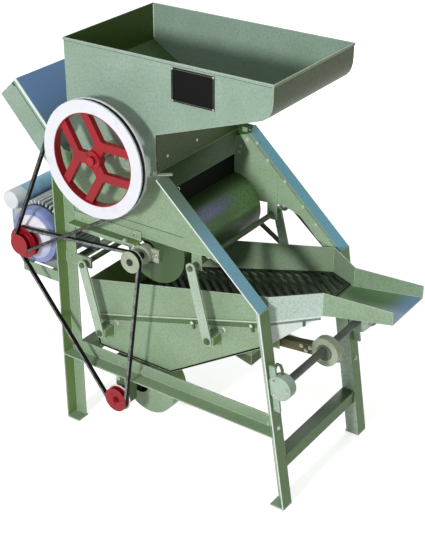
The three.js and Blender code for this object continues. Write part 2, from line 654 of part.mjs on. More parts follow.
function motorBody() {
  const spread = motor.bellRadius - overrun * 2;
  const feet = [motor.bodyY, motor.bodyEndY - motorBase.footWidth].map((y) => box(
    motor.x - spread, motor.x + spread, y, y + motorBase.footWidth,
    motorBase.topZ + seatGap, motorBase.topZ + motorBase.footHeight,
  ));
  const body = join(
    turned([
      [0, motor.noseY], [motor.noseRadius, motor.noseY], [motor.bellRadius - overrun, motor.rimY],
      [motor.bellRadius, motor.bellY], [motor.bellRadius, motor.bodyY], [motor.radius, motor.bodyY],
      [motor.radius, motor.bodyEndY], [motor.bellRadius, motor.bodyEndY], [motor.bellRadius, motor.coverY],
      [motor.bellRadius - 2 * overrun, motor.farY], [0, motor.farY],
    ], motor.x, motor.z, 36),
    box(
      terminalBox.rearX, terminalBox.frontX, terminalBox.nearY, terminalBox.farY,
      motor.z - terminalBox.drop, capacitorZ - capacitor.radius - seatGap,
    ),
    ...feet,
  );
  return cut(body, rod(motor.x, motor.z, motor.shaftRadius + runningGap, motor.noseY - overrun, motor.boreEndY));
}

function motorPulley() {
  const bore = motor.shaftRadius / 2;
  const shaftEnd = motor.boreEndY - overrun;
  return join(
    smallPulley(motor.x, motor.z, pulley.motorMain, beltLine.main, bore),
    smallPulley(motor.x, motor.z, pulley.motorFans, beltLine.fans, bore),
    rod(motor.x, motor.z, motor.shaftRadius, beltLine.main - pulley.half, shaftEnd),
  );
}

function motorBaseFrame() {
  const armEnd = frame.rearX - seatGap;
  const low = motorBase.topZ - motorBase.barThick;
  const bars = [motorBase.rearX, motorBase.frontBarX].map((x) => box(
    x, x + motorBase.barWidth, -frame.innerY, frame.innerY, low, motorBase.topZ,
  ));
  const arms = [-1, 1].map((side) => box(
    motorBase.rearX, armEnd, side * (frame.innerY - frame.wall), side * frame.innerY,
    motorBase.topZ - motorBase.armHeight, motorBase.topZ,
  ));
  return join(...bars, ...arms);
}

addPiece("motor_base", motorBaseFrame(), paint);
addPiece("motor_body", motorBody(), motorBlue);
addPiece("motor_capacitor", rod(
  capacitor.x, capacitorZ, capacitor.radius, capacitor.nearY, capacitor.farY, 28), motorBlue);
addPiece("motor_pulley", motorPulley(), redPaint);

// The eccentric shaft across the front legs, and the strap that shakes the sieve
const crankBearing = {
  cupRadius: 36, innerY: 198, outerY: 228, plateY: 215, plateThick: 8, lowZ: 310, topZ: 445, reach: 20,
};

function crankShaft() {
  return join(
    rod(crank.x, crank.z, crank.shaftRadius, crank.nearEndY, crank.farEndY),
    rod(crank.x, crank.z - crank.throwDrop, crank.discRadius,
      crank.strapY - crank.discHalf, crank.strapY + crank.discHalf, 36),
  );
}

// A cup beside the leg with a flat against it. The near one is closed, the far one lets the shaft through
function crankBearingPiece(side, shaftEndY) {
  const { lowZ, topZ, reach, plateY, plateThick, cupRadius, innerY, outerY } = crankBearing;
  const plate = sidePanel([
    [legX(lowZ) + seatGap, lowZ], [legX(lowZ) + reach, lowZ],
    [legX(topZ) + reach, topZ], [legX(topZ) + seatGap, topZ],
  ], side * plateY, side * (plateY + plateThick));
  const legSide = sidePanel([
    [legX(lowZ) - cupRadius, lowZ], [legX(lowZ) + seatGap, lowZ],
    [legX(topZ) + seatGap, topZ], [legX(topZ) - cupRadius, topZ],
  ], side * (innerY - overrun), side * (outerY + overrun));
  const cup = cut(rod(crank.x, crank.z, cupRadius, side * innerY, side * outerY, 32), legSide);
  const boreEnd = Math.min(side * shaftEndY + seatGap, outerY + overrun);
  const bore = rod(crank.x, crank.z, crank.shaftRadius + runningGap, side * (innerY - overrun), side * boreEnd);
  return cut(join(plate, cup), bore);
}

function eccentricStrap() {
  const centreZ = crank.z - crank.throwDrop;
  const [nearY, farY] = [crank.strapY - crank.strapHalf, crank.strapY + crank.strapHalf];
  const way = new THREE.Vector2(crank.armEndX - crank.x, crank.armEndZ - centreZ).normalize();
  const [half, eyeHalf] = [crank.armHeight / 2, crank.eyeHeight / 2];
  const arm = sidePanel([
    [crank.x - way.y * half, centreZ + way.x * half], [crank.x + way.y * half, centreZ - way.x * half],
    [crank.armEndX + way.y * eyeHalf, crank.armEndZ - way.x * eyeHalf],
    [crank.armEndX - way.y * eyeHalf, crank.armEndZ + way.x * eyeHalf],
  ], nearY, farY);
  const eye = rod(crank.armEndX, crank.armEndZ, eyeHalf, nearY, farY);
  const strap = rod(crank.x, centreZ, crank.strapRadius, nearY, farY, 40);
  const bore = rod(crank.x, centreZ, crank.discRadius + runningGap, nearY - overrun, farY + overrun, 36);
  return cut(join(strap, arm, eye), bore);
}

addPiece("crank_shaft", crankShaft(), steel);
addPiece("crank_bearing_near", crankBearingPiece(-1, crank.nearEndY), paint);
addPiece("crank_bearing_far", crankBearingPiece(1, crank.farEndY), paint);
addPiece("crank_pulley",
  smallPulley(crank.x, crank.z, pulley.crank, beltLine.far, crank.shaftRadius + seatGap), castGrey);
addPiece("eccentric_strap", eccentricStrap(), castGrey);

// The sieve: a box with a dipped pan, a slotted deck and a tray that narrows to its mouth
const pinPlaces = [[hanger.rearX, hanger.rearZ], [hanger.frontX, hanger.frontZ]]
  .map(([x, z]) => [x + hanger.dropX, z + hanger.dropZ]);

function panZ(x) {
  return sieve.dipZ + ((sieve.frontLowZ - sieve.dipZ) * (x - sieve.dipX)) / (sieve.frontX - sieve.dipX);
}

function hangerBracket(x, z, side) {
  const inner = side * (sieve.halfWidth - sheet / 2);
  const outer = side * (hanger.planeY - hanger.thick / 2 - runningGap);
  const block = box(
    x - sieve.bracketWidth / 2, x + sieve.bracketWidth / 2, inner, outer,
    z - sieve.bracketHeight / 2, z + sieve.bracketHeight / 2,
  );
  return join(block, rod(x, z, hanger.pinRadius, inner, side * hanger.rodEndY));
}

function sieveBox() {
  const { halfWidth } = sieve;
  const sides = [-1, 1].map((side) => sidePanel([
    [sieve.rearX, sieve.rearTopZ], [sieve.rearLowX, sieve.rearLowZ], [sieve.dipX, sieve.dipZ],
    [sieve.frontX, sieve.frontLowZ], [sieve.frontX, sieve.frontTopZ],
  ], side * (halfWidth - sheet), side * halfWidth));
  const pan = foldedSheet([
    [sieve.rearX, sieve.rearTopZ], [sieve.rearLowX, sieve.rearLowZ], [sieve.dipX, sieve.dipZ],
    [sieve.frontX, sieve.frontLowZ],
  ], -sheet, -halfWidth, halfWidth);
  const frontPlate = box(
    sieve.frontX - sheet, sieve.frontX, -halfWidth, halfWidth, sieve.frontLowZ, tray.skirtZ - sheet,
  );
  const brackets = pinPlaces.flatMap(([x, z]) => [-1, 1].map((side) => hangerBracket(x, z, side)));
  const cheeks = [-1, 1].map((side) => sidePanel([
    [sieve.cheekX - sieve.cheekHalf, sieve.cheekLowZ], [sieve.cheekX + sieve.cheekHalf, sieve.cheekLowZ],
    [sieve.cheekX + sieve.cheekHalf, panZ(sieve.cheekX + sieve.cheekHalf) + sheet / 2],
    [sieve.cheekX - sieve.cheekHalf, panZ(sieve.cheekX - sieve.cheekHalf) + sheet / 2],
  ], crank.strapY + side * sieve.cheekGap, crank.strapY + side * (sieve.cheekGap + frame.wall)));
  const spoutOutline = [
    [sieve.spoutRearX, sieve.spoutLowZ + frame.flange / 2], [sieve.spoutFrontX, sieve.spoutLowZ],
    [sieve.spoutFrontX, panZ(sieve.spoutFrontX) + sheet / 2],
    [sieve.spoutRearX, panZ(sieve.spoutRearX) + sheet / 2],
  ];
  const spout = sidePanel(spoutOutline, -sieve.spoutHalf, sieve.spoutHalf);
  const spoutInside = box(
    sieve.spoutRearX + sheet, sieve.spoutFrontX - sheet, sheet - sieve.spoutHalf, sieve.spoutHalf - sheet,
    sieve.spoutLowZ - overrun, panZ(sieve.spoutFrontX) + overrun,
  );
  return cut(join(...sides, pan, frontPlate, ...brackets, ...cheeks, spout), spoutInside);
}

// The deck is drawn flat, then tilted; its slots cross it on the slant
function sieveScreen() {
  const slopeLength = Math.hypot(1, sieve.deckSlope);
  const start = (sieve.rearLowX - overrun - sieve.deckX) * slopeLength;
  const bend = (sieve.frontX - sieve.deckX) * slopeLength;
  const end = (deck.endX - sieve.deckX) * slopeLength;
  const half = sieve.halfWidth - sheet - seatGap;
  const outline = (inset) => [
    [start + inset, inset - half], [bend, inset - half], [end - inset, inset - deck.endHalf],
    [end - inset, deck.endHalf - inset], [bend, half - inset], [start + inset, half - inset],
  ];
  const plate = flatPanel(outline(0), 0, deck.thick);
  const window = toSolid(flatPanel(outline(deck.ribInset), -overrun, deck.thick + overrun));
  const pitch = (end - start + 2 * half) / deck.slots;
  const slots = Array.from({ length: deck.slots }, (_, i) => {
    const middle = start - half + (i + deck.slotShare) * pitch;
    const reach = half * 2;
    const width = (pitch * deck.slotShare) / 2;
    const bar = flatPanel([
      [middle - reach - width, reach], [middle + reach - width, -reach],
      [middle + reach + width, -reach], [middle - reach + width, reach],
    ], -overrun, deck.thick + overrun);
    return toGeometry(toSolid(bar).intersect(window));
  }).filter((slot) => slot.index.count > 0);
  return cut(plate, ...slots).rotateY(-Math.atan(sieve.deckSlope)).translate(sieve.deckX, 0, sieve.deckZ);
}

function dischargeTray() {
  const joinX = sieve.frontX + seatGap;
  const run = tray.neckX - joinX;
  const turnIn = Math.atan2(sieve.halfWidth - tray.neckHalf, run);
  const wallLength = Math.hypot(run, sieve.halfWidth - tray.neckHalf);
  const funnelWalls = [-1, 1].map((side) => sidePanel([
    [0, tray.skirtZ], [wallLength, tray.skirtNeckZ], [wallLength, tray.wallTopZ], [0, tray.joinTopZ],
  ], 0, -side * sheet).rotateZ(-side * turnIn).translate(joinX, side * sieve.halfWidth, 0));
  const channelWalls = [-1, 1].map((side) => sidePanel([
    [tray.neckX - sheet, tray.skirtNeckZ], [tray.neckX + frame.flange, tray.floorZ], [tray.tipX, tray.floorTipZ],
    [tray.tipX, tray.wallTipZ], [tray.neckX - sheet, tray.wallTopZ],
  ], side * tray.neckHalf, side * (tray.neckHalf - sheet)));
  const floor = foldedSheet([
    [tray.tipX, tray.floorTipZ + sheet], [tray.neckX - sheet, tray.floorZ + sheet],
  ], -sheet, sheet / 2 - tray.neckHalf, tray.neckHalf - sheet / 2);
  const rise = tray.floorZ - tray.skirtZ;
  const slope = Math.hypot(run, rise);
  const throat = flatPanel([
    [0, sheet / 2 - sieve.halfWidth], [slope, sheet / 2 - tray.neckHalf], [slope, tray.neckHalf - sheet / 2],
    [0, sieve.halfWidth - sheet / 2],
  ], 0, sheet).rotateY(-Math.atan2(rise, run)).translate(joinX, 0, tray.skirtZ);
  const behind = box(
    joinX - frame.flange, joinX, -frame.innerY, frame.innerY,
    tray.skirtZ - frame.flange, tray.wallTipZ + frame.flange,
  );
  return cut(join(...funnelWalls, ...channelWalls, floor, throat), behind);
}

function hangerBar(x, z, side) {
  const drop = new THREE.Vector2(hanger.dropX, hanger.dropZ);
  const lean = THREE.MathUtils.radToDeg(Math.atan2(drop.y, drop.x));
  const half = hanger.width / 2;
  const outline = [
    ...arcPoints(x, z, half, lean + quarterTurn, lean + 3 * quarterTurn, 10),
    ...arcPoints(x + drop.x, z + drop.y, half, lean - quarterTurn, lean + quarterTurn, 10),
  ];
  const inner = side * (hanger.planeY - hanger.thick / 2);
  const outer = side * (hanger.planeY + hanger.thick / 2);
  return sidePanel(outline, inner, outer, [
    circlePoints(x, z, hanger.rodRadius + runningGap, 24),
    circlePoints(x + drop.x, z + drop.y, hanger.pinRadius + runningGap, 24),
  ]);
}

addPiece("sieve_box", sieveBox(), paint);
addPiece("sieve_screen", sieveScreen(), screenBlack);
addPiece("discharge_tray", dischargeTray(), paint);
for (const [side, word] of [[-1, "near"], [1, "far"]]) {
  addPiece(`hanger_rear_${word}`, hangerBar(hanger.rearX, hanger.rearZ, side), paint);
  addPiece(`hanger_front_${word}`, hangerBar(hanger.frontX, hanger.frontZ, side), paint);
}
const idlerEnd = beltLine.far + pulley.half + overrun;
addPiece("rear_pivot_rod", rod(
  hanger.rearX, hanger.rearZ, hanger.rodRadius, -hanger.rodEndY, hanger.rodEndY), steel);
addPiece("front_pivot_rod", rod(
  hanger.frontX, hanger.frontZ, hanger.rodRadius, -hanger.rodEndY, idlerEnd), steel);
addPiece("idler_pulley", turned(
  grooveProfile(pulley.idlerLip, beltLine.far, pulley.half, hanger.rodRadius + runningGap,
    pulley.idlerLip - pulley.idlerRoller), hanger.frontX, hanger.frontZ, 28), castGrey);

// The three belts
addPiece("main_belt", beltLoop([
  [motor.x, motor.z, pulley.motorMain], [rotor.x, rotor.z, pulley.big],
], beltLine.main), rubber);
addPiece("fan_belt", beltLoop([
  [motor.x, motor.z, pulley.motorFans], [fan.x, fan.z, pulley.fan], [blower.x, blower.z, pulley.blower],
], beltLine.fans), rubber);
addPiece("sieve_belt", beltLoop([
  [blower.x, blower.z, pulley.blowerFar], [hanger.frontX, hanger.frontZ, pulley.idlerRoller + pulley.grooveDepth],
  [crank.x, crank.z, pulley.crank],
], beltLine.far), rubber);

export default machine;
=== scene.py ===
# Peanut sheller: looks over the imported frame. Metres, +X to the tray, +Y to the far side, +Z up.
import json
import math
import bmesh
import bpy
from mathutils import Matrix, Vector


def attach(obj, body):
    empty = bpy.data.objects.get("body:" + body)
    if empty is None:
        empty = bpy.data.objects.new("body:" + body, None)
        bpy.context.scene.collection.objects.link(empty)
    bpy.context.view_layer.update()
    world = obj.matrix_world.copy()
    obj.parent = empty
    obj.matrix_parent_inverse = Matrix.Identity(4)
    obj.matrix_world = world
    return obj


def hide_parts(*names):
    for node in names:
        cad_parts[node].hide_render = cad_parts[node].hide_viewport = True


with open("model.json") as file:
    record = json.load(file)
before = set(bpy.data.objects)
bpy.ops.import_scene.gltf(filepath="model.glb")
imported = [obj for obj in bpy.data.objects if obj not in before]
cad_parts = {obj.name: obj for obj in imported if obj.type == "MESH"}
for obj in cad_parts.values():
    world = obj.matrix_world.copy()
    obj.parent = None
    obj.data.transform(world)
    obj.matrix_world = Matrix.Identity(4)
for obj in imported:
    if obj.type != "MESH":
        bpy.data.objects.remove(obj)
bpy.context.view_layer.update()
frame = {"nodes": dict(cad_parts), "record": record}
nodes = frame["nodes"]
slotOf = {part["node"]: part["material_slot"] for part in frame["record"]["subparts"]}
bodyOf = {name: body for body, names in frame["record"]["behaviour"]["bodies"].items() for name in names}


# the camera fitted to the photo

camera = {
    "place": (1.7288, -2.4936, 2.1747), "turn": 35.467, "down": 28.392, "roll": -0.325,
    "lens": 80.17, "shiftX": 0.0197, "shiftY": -0.0034, "sensor": 36, "clipEnd": 60,
}


def addCamera(c):
    turn, down, roll = (math.radians(c[k]) for k in ("turn", "down", "roll"))
    ahead = Vector((-math.sin(turn) * math.cos(down), math.cos(turn) * math.cos(down), -math.sin(down)))
    right = Vector((math.cos(turn), math.sin(turn), 0))
    up = right.cross(ahead)
    across = right * math.cos(roll) + up * math.sin(roll)
    upward = up * math.cos(roll) - right * math.sin(roll)
    data = bpy.data.cameras.new("photoCamera")
    data.lens, data.sensor_width, data.clip_end = c["lens"], c["sensor"], c["clipEnd"]
    data.shift_x, data.shift_y = c["shiftX"], c["shiftY"]
    cam = bpy.data.objects.new("photoCamera", data)
    cam.matrix_world = Matrix((
        (across.x, upward.x, -ahead.x, c["place"][0]), (across.y, upward.y, -ahead.y, c["place"][1]),
        (across.z, upward.z, -ahead.z, c["place"][2]), (0, 0, 0, 1),
    ))
    bpy.context.collection.objects.link(cam)
    bpy.context.scene.camera = cam


addCamera(camera)
print("camera stands at", camera["place"])


# node building, for shaders and for layouts

class Socket:  # wraps an output, so that sums on it add Math nodes
    def __init__(self, graph, link):
        self.graph, self.link = graph, link

    def maths(self, operation, *values):
        return self.graph.add("ShaderNodeMath", {"operation": operation}, values)

    def __add__(self, other):
        return self.maths("ADD", self, other)

    def __sub__(self, other):
        return self.maths("SUBTRACT", self, other)

    def __rsub__(self, other):
        return self.maths("SUBTRACT", other, self)

    def __mul__(self, other):
        return self.maths("MULTIPLY", self, other)

    def __pow__(self, other):
        return self.maths("POWER", self, other)

    def __abs__(self):
        return self.maths("ABSOLUTE", self)


screenCurve = {"knee": 0.04045, "slope": 12.92, "lift": 0.055, "power": 2.4}


def tint(code, c=screenCurve):  # a screen colour such as "9fb8a4" as linear light
    parts = [int(code[i:i + 2], 16) / 255 for i in (0, 2, 4)]
    return tuple(p / c["slope"] if p < c["knee"] else ((p + c["lift"]) / (1 + c["lift"])) ** c["power"]
                 for p in parts) + (1,)


class Graph:
    def __init__(self, tree):
        self.tree = tree
        self.tree.nodes.clear()

    def add(self, kind, settings=None, values=(), out=0):  # settings first, then the sockets
        node = self.tree.nodes.new(kind)
        for key, value in (settings or {}).items():
            setattr(node, key, value)
        pairs = values.items() if isinstance(values, dict) else enumerate(values)
        for key, value in pairs:
            if isinstance(value, Socket):
                self.tree.links.new(value.link, node.inputs[key])
            else:
                node.inputs[key].default_value = value
        return Socket(self, node.outputs[out]) if len(node.outputs) else None


# the edge mask for wear that also carries a painted highlight
edgeWearAndHighlight = {"samples": 4, "turned": (0.01, 0.14)}


class Shader(Graph):
    def __init__(self, name):
        self.material = bpy.data.materials.new(name)
        self.material.use_nodes = True
        super().__init__(self.material.node_tree)

    def place(self):
        return self.add("ShaderNodeTexCoord", out="Object")

    def axes(self, source=None):
        source = source or self.place()
        return [self.add("ShaderNodeSeparateXYZ", None, [source], out=i) for i in range(3)]

    def noise(self, scale, detail=3.0, rough=0.55, stretch=None):
        source = self.place()
        if stretch:
            source = self.add("ShaderNodeMapping", None, {"Vector": source, "Scale": stretch})
        return self.add("ShaderNodeTexNoise", None, {
            "Vector": source, "Scale": scale, "Detail": detail, "Roughness": rough})

    def ease(self, value, low, high, start=0.0, end=1.0):  # soft step between two levels
        return self.add("ShaderNodeMapRange", {"interpolation_type": "SMOOTHSTEP"}, {
            "Value": value, "From Min": low, "From Max": high, "To Min": start, "To Max": end})

    def mix(self, share, first, second):
        return self.add("ShaderNodeMix", {"data_type": "RGBA"}, {0: share, 6: first, 7: second}, out=2)

    def normalAxes(self):
        return self.axes(self.add("ShaderNodeNewGeometry", out="Normal"))

    def wornEdge(self, radius):  # 0 on flats, up to 1 where two faces meet; the paints turn these edges pale, as wear and as a painted highlight
        flat = self.add("ShaderNodeNewGeometry", out="Normal")
        soft = self.add("ShaderNodeBevel", {"samples": edgeWearAndHighlight["samples"]}, {"Radius": radius})
        match = self.add("ShaderNodeVectorMath", {"operation": "DOT_PRODUCT"}, [flat, soft], out="Value")
        return self.ease(1 - match, *edgeWearAndHighlight["turned"])

    def finish(self, p, colour, grain, height=None, metal=0.0, coat=0.0):  # the grain gives gloss and relief
        rough, (strength, distance) = self.ease(grain, *p["gloss"]), p["relief"]
        bump = self.add("ShaderNodeBump", None, {
            "Height": height or grain, "Strength": strength, "Distance": distance})
        base = self.add("ShaderNodeBsdfPrincipled", None, {
            "Base Color": colour, "Roughness": rough, "Normal": bump, "Specular IOR Level": p["shine"],
            "Metallic": metal, "Coat Weight": coat})
        self.add("ShaderNodeOutputMaterial", None, {"Surface": base})
        return self.material


# finishes: tints as screen colours, noises as (scale, detail, roughness), the rest as levels for ease

sagePaint = {  # pale sage on the faces to the belt side; painted shade: olive on those to the tray, darker on the top faces
    "face": "9bb2a3", "dust": "768f78", "shade": "86a55a", "top": "7e9678", "edge": "ecf3ec",
    "cloud": (7.0, 4.0), "speckle": (170.0, 3.0, 0.75), "grain": (900.0, 1.0), "pits": (60.0, 2.0),
    "heights": (0.5, 0.3, 0.2), "relief": (0.2, 0.0008), "spots": (0.42, 0.66, 0.0, 0.5),
    "patches": (0.35, 0.7, 0.0, 0.35), "trayFaces": (0.72, 0.92, 0.0, 0.9), "topFaces": (0.78, 0.95, 0.0, 0.85),
    "wear": (0.2, 0.5, 0.5, 0.95), "wearWidth": 0.0022, "gloss": (0.2, 0.8, 0.34, 0.54), "shine": 0.35,
}
warmPaint = dict(sagePaint, face="98b094", dust="768e68", top="8ba183")
# painted shade: a darker copy for parts that stand in shade
darkPaint = dict(sagePaint, face="6f8c60", dust="4a6338", shade="5b7a3e", top="6f8c62", edge="a9bea6",
                 gloss=(0.2, 0.8, 0.30, 0.50))
funnelPaint = dict(warmPaint, cheek={  # painted highlight: its walls, which stand across the light, turn near white
    "tint": "d4e6e0", "from": (0.42, 0.55), "to": (0.68, 0.8, 1.0, 0.0), "upright": (0.3, 0.5, 1.0, 0.0),
    "share": 0.85})
leanPaint = dict(warmPaint, leaning=(0.4, 0.55), skyDust=0.5, skyShare=0.92)  # painted reflection: faces that lean back take a blue sky sheen
sheetPaints = {
    "sage": sagePaint,
    "warm": warmPaint,
    "dark": darkPaint,
    # painted shade for the hopper's rear wall, the throat, the far gusset, the hopper's front and the front cross
    # rail
    "night": dict(darkPaint, face="46643a", dust="2f401a", shade="435a1e", top="4c6238", edge="6f8a64"),
    "nose": dict(darkPaint, face="456140", dust="314826", shade="4a5a2e"),
    "cross": dict(darkPaint, dust="3d5a26", shade="44701e", top="4f6848"),
    # painted light and shade: lighter faces with darker tops or tray-side flanges on the middle rails and front legs,
    # and a lighter far side plate
    "rail": dict(warmPaint, face="a5bfa1", top="5c7738"),
    "leg": dict(warmPaint, face="bed1c0", dust="80967a", shade="5c8232"),
    "hanger": dict(warmPaint, face="b6c8b6", dust="93a690"),
    "farPlate": dict(warmPaint, face="b2ceae", dust="8aa67c"),
    # worn and lit: pale strips and dots that carry a painted highlight on edges, ledges, weld dots and the funnel's
    # skirt
    "rubbed": dict(sagePaint, face="f2f8f4", dust="d2dfd9", shade="f2f8f4", top="f2f8f4"),
    "rubbedDot": dict(warmPaint, face="cfdcc6", dust="a9b99d", shade="cfdcc6"),
    "seam": dict(warmPaint, face="84988f", dust="5f7168"),
    # painted shadow under the sieve's ledges
    "band": dict(warmPaint, face="5d7a52", dust="466038"),
    "sieve": dict(funnelPaint, spout={  # painted shade: the mouth under the sieve turns dark olive
        "tint": "42562c", "xFrom": (0.078, 0.082), "xTo": (0.172, 0.176, 1.0, 0.0), "zTo": (0.329, 0.335, 1.0, 0.0),
        "share": 0.9}),
    "tray": dict(funnelPaint, top="5c8a58", tip={  # painted reflection: its floor turns blue towards its lip
        "tint": "82a8e0", "floor": (0.85, 0.95), "x": (0.52, 0.60, 0.0, 0.75)}),
    "nearSlant": dict(leanPaint, sky="88c6e0", skyFade=(2, 0.71, 0.87, 0.0, 0.95), shade="6a8266"),
    "farSlant": dict(leanPaint, sky="84d4ee"),
    "chute": dict(leanPaint, face="9bb2a3", dust="768f78", shade="4c6640", top="7e9678", sky="6592cc",
                  skyFade=(0, -0.50, -0.37, 0.0, 1.0)),
}


def paintedSteel(name, p):
    s = Shader(name)
    x, _, z = s.normalAxes()
    cloud, speckle = s.noise(*p["cloud"]), s.noise(*p["speckle"])
    dust, spots = tint(p["dust"]), s.ease(speckle, *p["spots"])
    patchy = s.mix(s.ease(cloud, *p["patches"]), tint(p["face"]), dust)
    shade = s.mix(spots, tint(p["shade"]), dust)
    # painted shade: faces to the tray take the shade tint, faces turned up take the top tint
    paint = s.mix(s.ease(x, *p["trayFaces"]), s.mix(spots, patchy, dust), shade)
    paint = s.mix(s.ease(z, *p["topFaces"]), paint, s.mix(spots, tint(p["top"]), dust))
    # painted reflection on the tray's floor near its lip
    if "tip" in p:
        tip = p["tip"]
        paint = s.mix(s.ease(z, *tip["floor"]) * s.ease(s.axes()[0], *tip["x"]), paint, tint(tip["tint"]))
    # painted highlight on walls that stand across the light
    if "cheek" in p:
        c = p["cheek"]
        across = s.ease(x, *c["from"]) * s.ease(x, *c["to"]) * s.ease(abs(z), *c["upright"])
        paint = s.mix(across * c["share"], paint, s.mix(spots, tint(c["tint"]), tint(p["face"])))
    # painted shade in the mouth under the sieve
    if "spout" in p:
        c, (px, _, pz) = p["spout"], s.axes()
        shadedMouth = s.ease(px, *c["xFrom"]) * s.ease(px, *c["xTo"]) * s.ease(pz, *c["zTo"])
        paint = s.mix(shadedMouth * c["share"], paint, tint(c["tint"]))
    # painted reflection: blue sky on faces that lean back, fading to the shade tint where set
    if "sky" in p:
        blue = s.mix(spots * p["skyDust"], tint(p["sky"]), dust)
        if "skyFade" in p:
            axis, *levels = p["skyFade"]
            blue = s.mix(s.ease(s.axes()[axis], *levels), blue, shade)
        slant = s.ease(z, *p["leaning"]) * s.ease(abs(x), *p["leaning"])
        paint = s.mix(slant * p["skyShare"], paint, blue)
    # worn edges with a painted highlight, pale in patches
    worn = s.wornEdge(p["wearWidth"]) * s.ease(cloud, *p["wear"])
    speckled, pitted, grained = p["heights"]
    height = speckle * speckled + s.noise(*p["pits"]) * pitted + s.noise(*p["grain"]) * grained
    return s.finish(p, s.mix(worn, paint, tint(p["edge"])), speckle, height)


casingPaint = {
    "face": "6a945b", "dust": "3f5933", "bright": "94c07c", "sheen": "9ea6da", "speckle": (170.0, 3.0, 0.75),
    "spots": (0.42, 0.66, 0.0, 0.5), "farHalf": (0.0, 0.13), "lit": 0.5, "turned": (0.2, 0.52),
    "bandFrom": (0.50, 0.66), "bandTo": (0.74, 0.90, 1.0, 0.0), "bandTray": (0.2, 0.4),
    "bandNear": (-0.03, 0.13, 0.95, 0.0), "gloss": (0.2, 0.8, 0.28, 0.46), "relief": (0.2, 0.0008), "shine": 0.4,
}


def rolledCasing(name, p):  # painted shade: dark at its crown and on faces turned from the light; painted reflection: a soft blue band across its near half; greener to the far end
    s = Shader(name)
    y, (nx, _, nz) = s.axes()[1], s.normalAxes()
    speckle, dust = s.noise(*p["speckle"]), tint(p["dust"])
    lit = s.mix(s.ease(y, *p["farHalf"]), tint(p["face"]), tint(p["bright"]))
    # painted shade: the dust tone also darkens faces turned away from the lit angle
    body = s.mix(s.ease(abs(nz - p["lit"]), *p["turned"]), lit, dust)
    band = s.ease(nz, *p["bandFrom"]) * s.ease(nz, *p["bandTo"]) * s.ease(nx, *p["bandTray"])
    # painted reflection: the blue band
    sheen = s.mix(band * s.ease(y, *p["bandNear"]), body, tint(p["sheen"]))
    return s.finish(p, s.mix(s.ease(speckle, *p["spots"]), sheen, dust), speckle)


castPaint = {
    "face": "b0baa2", "dust": "87937a", "edge": "e6eadf", "grain": (190.0, 4.0, 0.65), "cloud": (12.0, 3.0),
    "patches": (0.35, 0.7, 0.1, 0.6), "specks": (0.5, 0.75, 0.0, 0.35), "wearWidth": 0.0014, "wearShare": 0.6,
    "gloss": (0.3, 0.7, 0.40, 0.65), "relief": (0.45, 0.0009), "shine": 0.35,
}
oliveCast = dict(castPaint, face="5d7350", dust="3f5233", edge="93a588", gloss=(0.3, 0.7, 0.38, 0.63))
castPaints = {
    "cast": castPaint,
    "bearing": dict(castPaint, face="b6cbba", dust="8aa48e"),
    "strap": dict(castPaint, face="bcc4ac", oil=("635f38", 0.320, 0.324)),
    "olive": oliveCast,
    "shaftPaint": dict(oliveCast, face="6a746c", dust="434b45"),
}


def paintedCasting(name, p):
    s = Shader(name)
    grain, dust = s.noise(*p["grain"]), tint(p["dust"])
    base = s.mix(s.ease(s.noise(*p["cloud"]), *p["patches"]), tint(p["face"]), dust)
    if "oil" in p:  # brown up to that x, clean past it
        oil, *levels = p["oil"]
        base = s.mix(s.ease(s.axes()[0], *levels), tint(oil), base)
    speckled = s.mix(s.ease(grain, *p["specks"]), base, dust)
    # worn edges with a painted highlight
    worn = s.wornEdge(p["wearWidth"]) * p["wearShare"]
    return s.finish(p, s.mix(worn, speckled, tint(p["edge"])), grain)


wheelPaint = {
    "red": "a0081a", "deep": "62040f", "grain": (170.0, 4.0, 0.6), "cloud": (16.0, 3.0),
    "patches": (0.35, 0.75, 0.0, 0.4), "gloss": (0.3, 0.7, 0.30, 0.48), "coat": (0.3, 0.7, 0.0, 0.12),
    "relief": (0.3, 0.0008), "shine": 0.35,
}
wheelPaints = {
    "wheel": wheelPaint,
    "whiteWheel": dict(wheelPaint, red="f2f4f2", deep="d5dad8"),
    "bigWheel": dict(wheelPaint, rim={  # painted white past a radius
        "centre": (-0.196, 0.924), "radius": (0.1295, 0.1315), "white": "e6e7ee", "worn": "bcc2cc",
        "scuffs": (0.55, 0.8, 0.0, 0.4)}),
}


def wheelEnamel(name, p):
    s = Shader(name)
    grain, cloud = s.noise(*p["grain"]), s.noise(*p["cloud"])
    base = s.mix(s.ease(cloud, *p["patches"]), tint(p["red"]), tint(p["deep"]))
    if "rim" in p:
        r, (x, _, z) = p["rim"], s.axes()
        reach = ((x - r["centre"][0]) ** 2.0 + (z - r["centre"][1]) ** 2.0) ** 0.5
        white = s.mix(s.ease(cloud, *r["scuffs"]), tint(r["white"]), tint(r["worn"]))
        base = s.mix(s.ease(reach, *r["radius"]), base, white)
    return s.finish(p, base, grain, coat=s.ease(cloud, *p["coat"]))


turnedSteel = {
    "face": "c4c4bf", "dark": "80807b", "rust": "6a4a32", "groove": (900.0, 2.0, 0.5, (0.05, 1.0, 0.05)),
    "cloud": (22.0, 4.0), "lines": (0.4, 0.65), "rusty": (0.60, 0.75, 0.0, 0.35), "metal": 0.85,
    "gloss": (0.3, 0.7, 0.28, 0.42), "relief": (0.1, 0.0003), "shine": 0.5,
}
steels = {
    "steel": turnedSteel,
    "rotorShaft": dict(turnedSteel, paint=(wheelPaint["red"], -0.2864, -0.286)),
    "bolt": dict(turnedSteel, face="dcdfd8", dark="a2a69c", groove=(300.0, 2.0, 0.5, (0.05, 1.0, 0.05)), metal=0.6),
}


